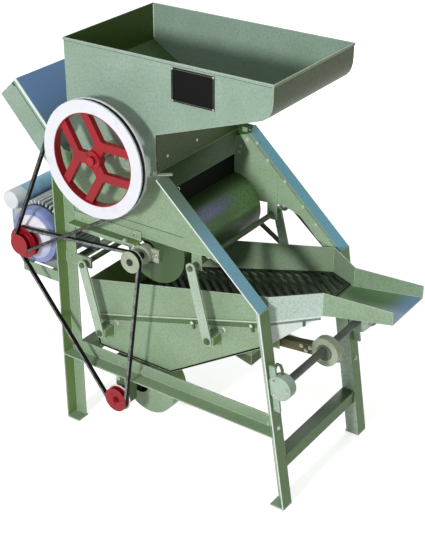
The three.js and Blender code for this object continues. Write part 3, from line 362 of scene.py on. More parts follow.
def bareSteel(name, p):
    s = Shader(name)
    lines, rust = s.noise(*p["groove"]), s.ease(s.noise(*p["cloud"]), *p["rusty"])
    base = s.mix(s.ease(lines, *p["lines"]), tint(p["face"]), tint(p["dark"]))
    shown, metal = s.mix(rust, base, tint(p["rust"])), (1 - rust) * p["metal"]
    if "paint" in p:  # red up to that y, bare past it
        paint, *levels = p["paint"]
        bare = s.ease(s.axes()[1], *levels)
        shown, metal = s.mix(bare, tint(paint), shown), metal * bare
    return s.finish(p, shown, lines, metal=metal)


beltRubber = {
    "face": "060606", "edge": "a4a8a4", "dust": "181918", "fray": (70.0, 4.0, 0.7), "cut": (0.7, 0.9, 0.0, 0.3),
    "frayed": (0.35, 0.6, 0.3, 1.0), "cloud": (45.0, 4.0), "dusty": (0.45, 0.8, 0.0, 0.5), "weave": (700.0, 2.0),
    "gloss": (0.3, 0.7, 0.55, 0.8), "relief": (0.5, 0.0006), "shine": 0.2,
}
rubbers = {
    "mainBelt": beltRubber,
    "fanBelt": dict(beltRubber, cut=(0.7, 0.9, 0.0, 0.7)),
    "farBelt": dict(beltRubber, cut=(0.7, 0.9, 0.0, 0.2)),
}


def rubberBelt(name, p):  # black rubber, the pale cord shows on its cut edges, which also carry a painted highlight on the side faces
    s = Shader(name)
    edge = s.ease(abs(s.normalAxes()[1]), *p["cut"]) * s.ease(s.noise(*p["fray"]), *p["frayed"])
    dusty = s.mix(s.ease(s.noise(*p["cloud"]), *p["dusty"]), tint(p["face"]), tint(p["dust"]))
    return s.finish(p, s.mix(edge, dusty, tint(p["edge"])), s.noise(*p["weave"]))


# painted shade: faces turned down take each part's deep tone
motorPaint = {
    "grain": (240.0, 3.0, 0.6), "cloud": (18.0, 3.0), "under": (-0.6, 0.3, 0.65, 0.0),
    "patches": (0.35, 0.7, 0.0, 0.3), "gloss": (0.3, 0.7, 0.32, 0.52), "relief": (0.25, 0.0006), "shine": 0.4,
}
# painted light and shade: the core between the fins is darker and the fins lighter than the body's enamel
motorTones = {"Body": ("97a1a0", "4d5656"), "Bell": ("f4f3f8", "9aa8e2"), "Rim": ("9aa8e2", "4d5656"),
              "Shell": ("a6d8fb", "35536b"), "Cap": ("eef4f9", "b7bfc2"), "Box": ("b7bfc2", "97a1a0"),
              "Core": ("3c4446", "1c2123"), "Fin": ("e4eaec", "97a1a0")}
motorPaints = {"motor" + part: dict(motorPaint, face=face, deep=deep) for part, (face, deep) in motorTones.items()}
motorPaints["motorShell"]["gloss"] = (0.3, 0.7, 0.26, 0.46)


def motorEnamel(name, p):
    s = Shader(name)
    grain, deep = s.noise(*p["grain"]), tint(p["deep"])
    base = s.mix(s.ease(s.noise(*p["cloud"]), *p["patches"]), tint(p["face"]), deep)
    # painted shade on faces turned down
    shown = s.mix(s.ease(s.normalAxes()[2], *p["under"]), base, deep)
    return s.finish(p, shown, grain)


plateBlack = {
    "face": "040405", "scuff": "121314", "scratch": (90.0, 5.0, 0.7, (0.3, 1.0, 1.6)),
    "scuffed": (0.56, 0.75, 0.0, 0.5), "fine": (600.0, 2.0), "gloss": (0.3, 0.7, 0.45, 0.65),
    "relief": (0.15, 0.0003), "shine": 0.12,
}
# black for dark parts, also used for painted shadow lines and sheets
blackAndShadowPaint = dict(plateBlack, face="0a0d08", scuff="141910", gloss=(0.3, 0.7, 0.6, 0.8))


def blackPlate(name, p):
    s = Shader(name)
    scuff = s.ease(s.noise(*p["scratch"]), *p["scuffed"])
    return s.finish(p, s.mix(scuff, tint(p["face"]), tint(p["scuff"])), s.noise(*p["fine"]))


screenSheet = {
    "face": "15170f", "dust": "33362a", "cloud": (30.0, 4.0), "grain": (500.0, 2.0, 0.7),
    "patches": (0.35, 0.7, 0.0, 0.7), "metal": (0.3, 0.7, 0.35, 0.15), "gloss": (0.3, 0.7, 0.4, 0.6),
    "relief": (0.2, 0.0004), "shine": 0.5,
}


def screenMetal(name, p):
    s = Shader(name)
    cloud = s.noise(*p["cloud"])
    patchy = s.mix(s.ease(cloud, *p["patches"]), tint(p["face"]), tint(p["dust"]))
    return s.finish(p, patchy, s.noise(*p["grain"]), metal=s.ease(cloud, *p["metal"]))


finishKinds = (
    (paintedSteel, sheetPaints), (rolledCasing, {"casing": casingPaint}), (paintedCasting, castPaints),
    (wheelEnamel, wheelPaints), (bareSteel, steels), (rubberBelt, rubbers), (motorEnamel, motorPaints),
    (blackPlate, {"plate": plateBlack, "gap": blackAndShadowPaint}),
    (screenMetal, {"screen": screenSheet, "rib": dict(screenSheet, face="8d9488", dust="5d6258")}),
)
finishes = {name: make(name, p) for make, kinds in finishKinds for name, p in kinds.items()}
slotFinish = {
    "sage_paint": "warm", "dark_green_paint": "dark", "red_paint": "wheel", "bare_steel": "steel",
    "cast_iron": "cast", "belt_rubber": "mainBelt", "motor_grey": "motorBody", "motor_blue": "motorShell",
    "black_plate": "plate", "screen_black": "screen",
}
nodeFinish = {  # by the start of a node's name
    "big_pulley": "bigWheel", "fan_belt": "fanBelt", "sieve_belt": "farBelt", "hopper_side": "sage",
    "shell_chute": "chute", "hopper_rear": "night", "blower_casing": "casing", "front_leg": "leg",
    "side_plate_far": "farPlate", "hopper_front": "nose", "middle_rail": "rail", "sieve_box": "sieve",
    "discharge_tray": "tray", "hanger": "hanger", "slanted_leg_near": "nearSlant", "slanted_leg_far": "farSlant",
    "eccentric_strap": "strap", "throat_front": "night", "front_cross_rail": "cross", "rear_cross_rail": "dark",
    "crank_shaft": "shaftPaint", "crank_bearing": "bearing", "rotor_shaft": "rotorShaft", "blower_rotor": "screen",
    "fan_rotor": "screen", "fan_bearing": "olive", "front_pivot_rod": "olive", "rear_pivot_rod": "olive",
}
print("finishes:", len(finishes))


# pieces from the frame, with rounded arrises

arris = {
    "usual": 0.0007, "steps": 2, "angle": 32.0, "weld": 0.00002, "flat": 0.6, "ownShape": ["motor_body"],
    "wide": {  # by the start of a node's name
        "big_pulley": 0.0018, "motor_capacitor": 0.004, "fan_bearing": 0.004, "rotor_bearing": 0.003,
        "blower_bearing": 0.003, "crank_bearing": 0.002, "eccentric_strap": 0.002,
    },
}


def byStart(table, node, other):
    return next((value for start, value in table.items() if node.startswith(start)), other)


def camel(name):
    first, *rest = name.split("_")
    return first + "".join(word.capitalize() for word in rest)


def newPiece(name, mesh, finish):
    piece = bpy.data.objects.new(name, mesh)
    bpy.context.collection.objects.link(piece)
    mesh.materials.clear()
    mesh.materials.append(finishes[finish])
    return piece


def baked(piece):  # the piece with its modifiers worked into a plain mesh
    finish = piece.data.materials[0]
    graph = bpy.context.evaluated_depsgraph_get()
    mesh = bpy.data.meshes.new_from_object(piece.evaluated_get(graph))
    piece.modifiers.clear()
    piece.data = mesh
    if not mesh.materials:
        mesh.materials.append(finish)
    return piece


def smoothMesh(shape, mesh):  # writes the working shape into the mesh
    for face in shape.faces:
        face.smooth = True
    shape.to_mesh(mesh)
    shape.free()
    return mesh


def placed(piece, body):
    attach(piece, body)
    return piece


def rounded(piece, width):
    edge = piece.modifiers.new("arris", "BEVEL")
    edge.width, edge.segments = width, arris["steps"]
    edge.limit_method, edge.angle_limit = "ANGLE", math.radians(arris["angle"])
    edge.use_clamp_overlap = True
    piece.modifiers.new("evenShade", "WEIGHTED_NORMAL")
    return baked(piece)


cutAway = {"throat_front": {"spot": (-0.054, 0.186, 0.890), "facing": (3344, 3305, -2812), "snap": 0.00001}}


def roundedCopy(node):
    mesh = nodes[node].data.copy()
    shape = bmesh.new()
    shape.from_mesh(mesh)
    bmesh.ops.remove_doubles(shape, verts=shape.verts, dist=arris["weld"])
    if node in cutAway:
        c = cutAway[node]
        cut = bmesh.ops.bisect_plane(
            shape, geom=shape.verts[:] + shape.edges[:] + shape.faces[:], dist=c["snap"],
            plane_co=c["spot"], plane_no=Vector(c["facing"]).normalized(), clear_outer=True)
        bmesh.ops.holes_fill(shape, edges=[e for e in cut["geom_cut"] if isinstance(e, bmesh.types.BMEdge)])
    bmesh.ops.dissolve_limit(shape, angle_limit=math.radians(arris["flat"]), verts=shape.verts, edges=shape.edges)
    finish = byStart(nodeFinish, node, slotFinish[slotOf[node]])
    piece = newPiece(camel(node) + "Piece", smoothMesh(shape, mesh), finish)
    rounded(piece, byStart(arris["wide"], node, arris["usual"]))
    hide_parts(node)
    placed(piece, bodyOf[node])


roundedNodes = [node for node in sorted(nodes) if node not in arris["ownShape"]]
for node in roundedNodes:
    roundedCopy(node)
print("rounded pieces:", len(roundedNodes))


# shape helpers for the added pieces; arrises are widths in metres

def shapePiece(name, shape, finish, body, arrisWidth=0.0004):
    bmesh.ops.recalc_face_normals(shape, faces=shape.faces)
    piece = newPiece(name, smoothMesh(shape, bpy.data.meshes.new(name)), finish)
    return placed(rounded(piece, arrisWidth) if arrisWidth else piece, body)


def addRun(shape, path, section, normal):  # a section (out, across) carried along a line of points
    path, normal = [Vector(p) for p in path], Vector(normal)
    rings = []
    for i, point in enumerate(path):
        ahead = (path[min(i + 1, len(path) - 1)] - path[max(i - 1, 0)]).normalized()
        side = ahead.cross(normal).normalized()
        rings.append([shape.verts.new(point + normal * out + side * across) for out, across in section(i)])
    count = len(rings[0])
    for a, b in zip(rings, rings[1:]):
        for k in range(count):
            shape.faces.new((a[k], a[(k + 1) % count], b[(k + 1) % count], b[k]))
    shape.faces.new(rings[0][::-1])
    shape.faces.new(rings[-1])


def flatSection(thick, width):
    return lambda i: [(0, -width / 2), (thick, -width / 2), (thick, width / 2), (0, width / 2)]


def stripRun(name, paths, thick, width, normal, finish, body="frame", slot="sage_paint", arrisWidth=0.0004):
    shape = bmesh.new()
    for path in paths:
        addRun(shape, path, flatSection(thick, width), normal)
    shapePiece(name, shape, finish, body, arrisWidth)


ripple = {"step": 0.55, "fewest": 6, "mean": 0.82, "swing": 0.18, "turn": 2.1, "ends": 0.55, "sides": 6}


def weldRuns(name, seams, radius, finish, r=ripple):  # rippled half-round beads between two points
    shape = bmesh.new()
    for start, end, normal in seams:
        start, end = Vector(start), Vector(end)
        count = max(r["fewest"], int((end - start).length / (radius * r["step"])))
        path = [start.lerp(end, i / count) for i in range(count + 1)]

        def section(i, count=count):
            wave = r["mean"] + r["swing"] * math.cos(i * r["turn"])
            swell = radius * wave * (r["ends"] if i in (0, count) else 1)
            turns = [math.pi * k / r["sides"] for k in range(r["sides"] + 1)]
            return [(swell * math.sin(t), swell * math.cos(t)) for t in turns]

        addRun(shape, path, section, normal)
    shapePiece(name, shape, finish, "frame", None)


def addSlab(shape, outline, low, high, axis):  # an outline in the two other axes, drawn from low to high
    def corner(a, b, c):
        return {0: (c, a, b), 1: (a, c, b), 2: (a, b, c)}[axis]

    ends = [[shape.verts.new(corner(a, b, c)) for a, b in outline] for c in (low, high)]
    count = len(outline)
    for k in range(count):
        shape.faces.new((ends[0][k], ends[0][(k + 1) % count], ends[1][(k + 1) % count], ends[1][k]))
    shape.faces.new(ends[0][::-1])
    shape.faces.new(ends[1])


def slab(name, outline, low, high, axis, finish, body="frame", slot="sage_paint", arrisWidth=0.0008):
    shape = bmesh.new()
    addSlab(shape, outline, low, high, axis)
    shapePiece(name, shape, finish, body, arrisWidth)


def rectangle(a0, a1, b0, b1):
    return [(a0, b0), (a1, b0), (a1, b1), (a0, b1)]


def ringPoints(a, b, radius, count, start=0.0, sweep=360.0):
    steps = count if sweep == 360.0 else count - 1
    turns = [math.radians(start + sweep * i / steps) for i in range(count)]
    return [(a + radius * math.cos(t), b + radius * math.sin(t)) for t in turns]


lathe = {"steps": 64, "arris": 0.0012}


def lathed(name, profile, x, z, finish, body, slot, steps=lathe["steps"]):  # (radius, y) turned about Y
    shape = bmesh.new()
    rings = []
    for radius, y in profile:
        if radius == 0:
            rings.append([shape.verts.new((x, y, z))])
        else:
            rings.append([shape.verts.new((px, y, pz)) for px, pz in ringPoints(x, z, radius, steps)])
    for a, b in zip(rings, rings[1:]):
        for k in range(steps):
            m = (k + 1) % steps
            if len(a) == 1:
                shape.faces.new((a[0], b[m], b[k]))
            elif len(b) == 1:
                shape.faces.new((a[k], a[m], b[0]))
            else:
                shape.faces.new((a[k], a[m], b[m], b[k]))
    return shapePiece(name, shape, finish, body, lathe["arris"])


# layouts: repeated fasteners and fins as Geometry Nodes

class Layout(Graph):
    def __init__(self, name, inputs):
        super().__init__(bpy.data.node_groups.new(name, "GeometryNodeTree"))
        for label, kind in inputs.items():
            self.tree.interface.new_socket(name=label, in_out="INPUT", socket_type=kind)
        self.tree.interface.new_socket(name="Geometry", in_out="OUTPUT", socket_type="NodeSocketGeometry")
        self.source = self.tree.nodes.new("NodeGroupInput")

    def given(self, label):
        return Socket(self, self.source.outputs[label])

    def close(self, shape):
        real = self.add("GeometryNodeRealizeInstances", None, [shape])
        done = self.add("GeometryNodeSetMaterial", None, {"Geometry": real, "Material": self.given("Finish")})
        smooth = self.add("GeometryNodeSetShadeSmooth", None, {"Geometry": done, "Shade Smooth": False})
        sink = self.tree.nodes.new("NodeGroupOutput")
        self.tree.links.new(smooth.link, sink.inputs[0])
        return self.tree


def runLayout(name, mesh, tree, values, finish):
    piece = newPiece(name, mesh, finish)
    run = piece.modifiers.new("layout", "NODES")
    run.node_group = tree
    for item in tree.interface.items_tree:
        if item.in_out == "INPUT" and item.name in values:
            run[item.identifier] = values[item.name]
    return baked(piece)


fastenerSizes = ("Head Radius", "Head Height", "Head Sides", "Head Taper", "Washer Radius", "Washer Height",
                 "Stud Radius", "Stud Height")
fastenerKinds = {
    "bolt": (0.0075, 0.0055, 6, 0.92, 0.0100, 0.0016, 0.0040, 0.0085),
    "smallBolt": (0.0050, 0.0038, 6, 0.92, 0.0068, 0.0012, 0.0027, 0.0060),
    "rivet": (0.0034, 0.0018, 16, 0.55, 0.0038, 0.0005, 0.0010, 0.0019),
    "weldDot": (0.0042, 0.0016, 14, 0.6, 0.0050, 0.0006, 0.0018, 0.0021),
    "pinNut": (0.0105, 0.0060, 6, 0.92, 0.0135, 0.0015, 0.0060, 0.0100),
}
unscaled = ("Head Sides", "Head Taper")
roundSides, studTaper = {"washer": 18, "stud": 10}, 0.8


def fastenerTree():  # a head on a washer, with a stud through it, set on every point and turned to face out
    g = Layout("fastenerLayout", {
        "Geometry": "NodeSocketGeometry",
        **{label: "NodeSocketInt" if label == "Head Sides" else "NodeSocketFloat" for label in fastenerSizes},
        "Seed": "NodeSocketInt", "Finish": "NodeSocketMaterial",
    })

    def cone(sides, low, top, height):
        return g.add("GeometryNodeMeshCone", None, {
            "Vertices": sides, "Radius Bottom": low, "Radius Top": top, "Depth": height})

    headRadius, washerRadius, studRadius = (g.given(part + " Radius") for part in ("Head", "Washer", "Stud"))
    head = cone(g.given("Head Sides"), headRadius, headRadius * g.given("Head Taper"), g.given("Head Height"))
    washer = cone(roundSides["washer"], washerRadius, washerRadius, g.given("Washer Height"))
    stud = cone(roundSides["stud"], studRadius, studRadius * studTaper, g.given("Stud Height"))
    joined = g.tree.nodes.new("GeometryNodeJoinGeometry")
    for part in (head, washer, stud):
        g.tree.links.new(part.link, joined.inputs[0])
    points = g.add("GeometryNodeMeshToPoints", None, {"Mesh": g.given("Geometry")})
    facing = g.add("GeometryNodeInputNamedAttribute", {"data_type": "FLOAT_VECTOR"}, {"Name": "facing"})
    turned = g.add("FunctionNodeAlignRotationToVector", {"axis": "Z"}, {"Vector": facing})
    spin = g.add("FunctionNodeRandomValue", {"data_type": "FLOAT"}, {"Seed": g.given("Seed")}, out=1)
    spun = g.add("FunctionNodeAxisAngleToRotation", None, {"Axis": (0, 0, 1), "Angle": spin * math.tau})
    local = g.add("FunctionNodeRotateRotation", {"rotation_space": "LOCAL"}, [turned, spun])
    return g.close(g.add("GeometryNodeInstanceOnPoints", None, {
        "Points": points, "Instance": Socket(g, joined.outputs[0]), "Rotation": local}))


fastenerLayout = fastenerTree()


def facingPoints(name, places):  # a mesh of bare points that know which way to face
    mesh = bpy.data.meshes.new(name)
    mesh.from_pydata([spot for spot, facing in places], [], [])
    facings = mesh.attributes.new("facing", "FLOAT_VECTOR", "POINT")
    for item, (spot, facing) in zip(facings.data, places):
        item.vector = Vector(facing).normalized()
    return mesh


def fasteners(name, kind, places, finish="bolt", body="frame", sized=1.0):
    values = {label: size if label in unscaled else size * sized
              for label, size in zip(fastenerSizes, fastenerKinds[kind])}
    values.update({"Seed": len(name), "Finish": finishes[finish]})
    placed(runLayout(name, facingPoints(name, places), fastenerLayout, values, finish), body)


nearSide, ahead, behindIt, upward = (0, -1, 0), (1, 0, 0), (-1, 0, 0), (0, 0, 1)
sides = (("Near", -1), ("Far", 1))
hairline = 0.00005  # arris of the thin dark lines


def mirrored(rows):  # near and far copies of rows of points and directions that are given for the far side
    return [tuple((x, side * y, z) for x, y, z in row) for side in (-1, 1) for row in rows]


# hopper: rolled rim, the painted shadow line under it, corner bead pale with a painted highlight and the bare name
# plate's border

hopperTrim = {
    "rear": -0.352, "front": 0.302, "half": 0.195, "top": 1.2058, "rimHeight": 0.0065, "rimOut": 0.0018,
    "lineDrop": 0.0002, "lineWidth": 0.0014, "lineThick": 0.0003, "lineEnds": 0.002, "sunk": 0.0003,
    "beadIn": (0.0022, 0.0024), "beadZ": (1.104, 1.203), "bead": 0.0018,
    "plate": (0.001, 0.133, 1.103, 1.193), "plateY": -0.1968, "plateInset": 0.0035, "plateLine": 0.0007,
}


def hopperDetails(t):
    middle = t["top"] - t["rimHeight"] / 2
    under = t["top"] - t["rimHeight"] - t["lineWidth"] / 2 - t["lineDrop"]
    out = t["rimOut"]
    for label, side in sides:
        y, normal = side * t["half"], (0, side, 0)
        rim = [(x, y, middle) for x in (t["rear"] - out, t["front"] + out)]
        line = [(x, y, under) for x in (t["rear"] + t["lineEnds"], t["front"] - t["lineEnds"])]
        stripRun("hopperRim" + label, [rim], out, t["rimHeight"], normal, "sage")
        # painted shadow under the rolled rim
        stripRun("rimLine" + label, [line], t["lineThick"], t["lineWidth"], normal, "gap", arrisWidth=hairline)
    for label, x, normal in (("Rear", t["rear"], behindIt), ("Front", t["front"], ahead)):
        rim = [(x, side * (t["half"] - t["sunk"]), middle) for side in (-1, 1)]
        stripRun("hopperRim" + label, [rim], out, t["rimHeight"], normal, "sage")
    inX, inY = t["beadIn"]
    weldRuns("hopperCornerBeads", [
        (*((t["rear"] + inX, side * (t["half"] - inY), z) for z in t["beadZ"]), (1, -side, 0)) for side in (-1, 1)],
        t["bead"], "rubbed")
    x0, x1, z0, z1 = t["plate"]
    inset = t["plateInset"]
    corners = [(x, t["plateY"], z) for x, z in rectangle(x0 + inset, x1 - inset, z0 + inset, z1 - inset)]
    stripRun("namePlateBorder", zip(corners, corners[1:] + corners[:1]), t["lineThick"], t["plateLine"], nearSide,
             "rib", slot="bare_steel", arrisWidth=hairline)
    fasteners("namePlateRivets", "rivet", [(corner, nearSide) for corner in corners], sized=0.7)


hopperDetails(hopperTrim)
print("hopper trimmed")


# shell chute: turned-back border along its sides, pale on its edge with a painted highlight, with painted shadow
# lines at its fold and notch

chuteTrim = {
    "mouth": (-0.542, 1.053), "rise": (0.675, -0.738), "length": 0.272, "half": 0.1884,
    "strips": {  # share of the length, and inward from the upper edge, at both ends; thickness, width, finish, arris
        "chuteEdge": ((0.006, 0.005), (0.98, 0.005), 0.0016, 0.008, "rubbed", 0.0004),
        "chuteFold": ((0.006, 0.019), (0.98, 0.019), 0.0003, 0.0016, "gap", hairline),
        "chuteMouthHem": ((0.02, 0.023), (0.02, 0.082), 0.0014, 0.007, "sage", 0.0004),
        "chuteNotch": ((0.006, 0.022), (0.05, 0.022), 0.0016, 0.002, "gap", hairline),
    },
}


def chuteDetails(t):
    (mx, mz), (rx, rz), length = t["mouth"], t["rise"], t["length"]
    for label, side in sides:
        for name, (start, end, thick, width, finish, arrisWidth) in t["strips"].items():
            path = [(mx + rx * length * share + rz * inward, side * t["half"], mz + rz * length * share - rx * inward)
                    for share, inward in (start, end)]
            stripRun(name + label, [path], thick, width, (0, side, 0), finish, arrisWidth=arrisWidth)


chuteDetails(chuteTrim)
print("chute trimmed")


# throat and corner brackets under the hopper

throatTrim = {
    "x": -0.0537, "foldZ": 0.890, "half": 0.186, "rivetZ": 0.9225, "rivets": (-0.145, -0.011, 0.123),
    "foot": (-0.011, 0.853), "footEnd": 0.108, "baffle": (-0.064, -0.062, 0.7535, 0.858),
    "foldFacing": (0.85, 0, 0.52), "footFacing": (0.64, 0, 0.77),
}


def throatDetails(t):
    dark, half, (fx, fz) = "dark_green_paint", t["half"], t["foot"]
    fold = [(t["x"], y, t["foldZ"]) for y in (-half, half)]
    stripRun("throatFold", [fold], 0.0008, 0.0022, t["foldFacing"], "dark", slot=dark)
    foot = [(fx, y, fz) for y in (-half, t["footEnd"])]
    stripRun("throatFootRim", [foot], 0.0010, 0.0035, t["footFacing"], "night", slot=dark)
    # painted shade: a dark sheet fills the dark gap behind the throat
    slab("throatBaffle", rectangle(*t["baffle"]), -half, half, 1, "gap", slot=dark)
    fasteners("throatRivets", "rivet", [((t["x"], y, t["rivetZ"]), ahead) for y in t["rivets"]], sized=1.1)


cornerTrim = {
    "lugZ": (0.8952, 0.8988), "bar": ((-0.052, 0.226), (-0.006, 0.188)), "halfWide": 0.0065, "bolt": (-0.043, 0.2185),
    "gusset": ((-0.062, 0.868), (-0.030, 0.878), (-0.006, 0.888), (0.002, 0.914), (-0.062, 0.914)),
    "gussetY": (0.1868, 0.1886), "pad": (-0.036, -0.019, 0.888, 0.901), "padY": (0.1854, 0.1868),
}


def cornerDetails(t):  # a lug over each slanted leg's head, and a gusset that closes the corner under the hopper
    for label, side in sides:
        (xa, ya), (xb, yb) = t["bar"]
        along = Vector((xb - xa, yb - ya)).normalized() * t["halfWide"]
        across = Vector((-along.y, along.x))
        outline = [(xa - across.x, ya - across.y), (xb - across.x, yb - across.y),
                   (xb + across.x, yb + across.y), (xa + across.x, ya + across.y)]
        slab("cornerLug" + label, [(x, side * y) for x, y in outline], *t["lugZ"], 2, "cast")
        boltX, boltY = t["bolt"]
        fasteners("cornerBolt" + label, "smallBolt", [((boltX, side * boltY, t["lugZ"][1]), upward)], sized=1.1)
    # painted shade on the far gusset under the hopper
    slab("cornerGussetFar", t["gusset"], *t["gussetY"], 1, "night", slot="dark_green_paint")
    slab("cornerPad", rectangle(*t["pad"]), *t["padY"], 1, "bearing", slot="cast_iron")


throatDetails(throatTrim)
cornerDetails(cornerTrim)
print("throat and corners trimmed")


# side plates: seam, weld dots and bolts

plateTrim = {
    "inner": 0.1887, "outer": 0.1907, "seam": ((-0.345, 0.7235), (0.030, 0.7225)),
    "dots": ((0.013, 0.861), (-0.021, 0.864), (-0.043, 0.839), (-0.048, 0.820), (0.050, 0.817), (0.109, 0.766),
             (0.171, 0.704), (0.215, 0.660)),
    "nuts": ((0.033, 0.719), (0.107, 0.690)),
}


def plateDetails(t):
    for label, side in sides:
        seam = [(x, side * t["outer"], z) for x, z in t["seam"]]
        stripRun("sideSeam" + label, [seam], 0.0003, 0.0014, (0, side, 0), "gap", arrisWidth=hairline)
        # the weld dots are pale with a painted highlight
        for name, kind, spots, finish, slot in (("sideDots", "weldDot", t["dots"], "rubbedDot", "sage_paint"),
                                                ("sideNuts", "smallBolt", t["nuts"], "bolt", "bare_steel")):
            fasteners(name + label, kind, [((x, side * t["inner"], z), (0, -side, 0)) for x, z in spots],
                      finish)


plateDetails(plateTrim)


# legs and rails: pale edges, worn and with a painted highlight, bolts and weld beads

frameTrim = {  # bolts as place and facing, weld beads as start, end and facing, all for the far side
    "edgeY": 0.2350, "edgeThick": 0.0007, "edgeWide": 0.0036, "edgeArris": 0.0002,
    "weld": 0.0026, "crossWeld": 0.0034,
    "edges": (((-0.0244, 0.8931), (0.2986, 0.5955)), ((0.2980, 0.5967), (0.3900, 0.0060))),
    "railBolts": (((-0.200, 0.1952, 0.246), (0, 1, 0)), ((-0.123, 0.1952, 0.246), (0, 1, 0))),
    "midRailBolts": (((-0.134, 0.1952, 0.688), (0, 1, 0)), ((-0.150, 0.218, 0.6742), (0, 0, 1))),
    "legStuds": (((0.3535, 0.213, 0.252), (1, 0, 0.154)),),
    "beads": (
        ((-0.352, 0.1952, 0.230), (-0.352, 0.1952, 0.266), (0.3, 1, 0)),
        ((-0.352, 0.1952, 0.673), (-0.352, 0.1952, 0.698), (0.3, 1, 0)),
        ((-0.388, 0.1952, 0.2325), (-0.388, 0.2350, 0.2325), (0.7, 0, 0.7)),
        ((0.3167, 0.1952, 0.2325), (0.352, 0.23265, 0.2325), (0, 0.3, 1)),
        ((0.314, 0.1952, 0.232), (0.310, 0.1952, 0.266), (0.2, 1, 0)),
        ((-0.388, 0.1952, 0.0052), (-0.349, 0.1952, 0.0052), (0, 1, 0.7)),
        ((0.388, 0.1952, 0.0052), (0.349, 0.1952, 0.0052), (0, 1, 0.7)),
        ((0.3, 0.1915, 0.5975), (0.3, 0.2350, 0.5975), (1, 0, 0.5)),
    ),
    "crossBeads": (
        ((0.3690, 0.1903, 0.112), (0.3690, 0.1903, 0.150), (1, -1, 0)),
        ((0.3300, 0.1903, 0.1512), (0.3675, 0.1903, 0.1512), (0, -1, 1)),
    ),
}


def frameDetails(t):
    for label, side in sides:
        runs = [[(x, side * t["edgeY"], z) for x, z in run] for run in t["edges"]]
        stripRun("legEdge" + label, runs, t["edgeThick"], t["edgeWide"], (0, side, 0), "rubbed",
                 arrisWidth=t["edgeArris"])
    weldRuns("jointBeads", mirrored(t["beads"]), t["weld"], "warm")
    fasteners("railBolts", "bolt", mirrored(t["railBolts"]), "cast")
    fasteners("midRailBolts", "smallBolt", mirrored(t["midRailBolts"]), sized=1.1)
    fasteners("legStuds", "smallBolt", mirrored(t["legStuds"]))
    weldRuns("crossRailBeads", mirrored(t["crossBeads"]), t["crossWeld"], "dark")


frameDetails(frameTrim)
print("frame welded and bolted")


# sieve: ledge, the painted shadow band under it and a dark line along the lower edges on each side, bolt heads, clips
# and hanger nuts, the funnel's trim and skirt

sieveTrim = {
    "half": 0.172, "ledge": ((-0.300, 0.3702), (0.286, 0.5403)), "ledgeOut": 0.0045, "ledgeHigh": 0.004,
    "band": (0.0008, 0.018), "heads": ((-0.233, 0.361), (0.144, 0.467)), "pins": ((-0.259, 0.339), (0.123, 0.446)),
    "pinY": 0.2186, "hem": ((-0.327, 0.4692), (-0.297, 0.2672), (-0.037, 0.2652), (0.286, 0.4672)),
    "funnel": ((0.2895, 0.1709, 0.5413), (0.399, 0.0883, 0.556)), "funnelOut": (0.602, 0.798),
    "funnelLedge": 0.0035, "seam": (0.0028, 0.008), "seamDrop": 0.006, "hemSize": (0.0012, 0.0044),
    "skirt": ((0.2888, 0.1714, 0.5413), (0.2888, 0.1714, 0.468), (0.399, 0.0883, 0.556)),
    "skirtOut": (0.0, 0.0015), "hook": ((0.361, 0.546), (0.368, 0.547), (0.368, 0.528), (0.362, 0.526)),
    "hookY": (0.1115, 0.1195), "clips": ((0.046, 0.4625), (0.240, 0.519)), "clipOut": 0.006,
    "clip": ((-0.006, -0.004), (0.005, -0.0005), (0.007, -0.021), (0.001, -0.024)), "clipRivet": (-0.002, -0.004),
}


def funnelSkirt(name, t, side):  # a thin triangle that carries the funnel's wall down to the sieve's bottom, near white as a painted highlight
    outX, outY = t["funnelOut"]
    shape = bmesh.new()
    corners = [shape.verts.new((x + outX * out, side * (y + outY * out), z)) for out in t["skirtOut"]
               for x, y, z in t["skirt"]]
    shape.faces.new(corners[:3])
    shape.faces.new(corners[:2:-1])
    for a, b in ((0, 1), (1, 2), (2, 0)):
        shape.faces.new((corners[a], corners[b], corners[b + 3], corners[a + 3]))
    shapePiece(name, shape, "rubbed", "sieve", 0.0003)


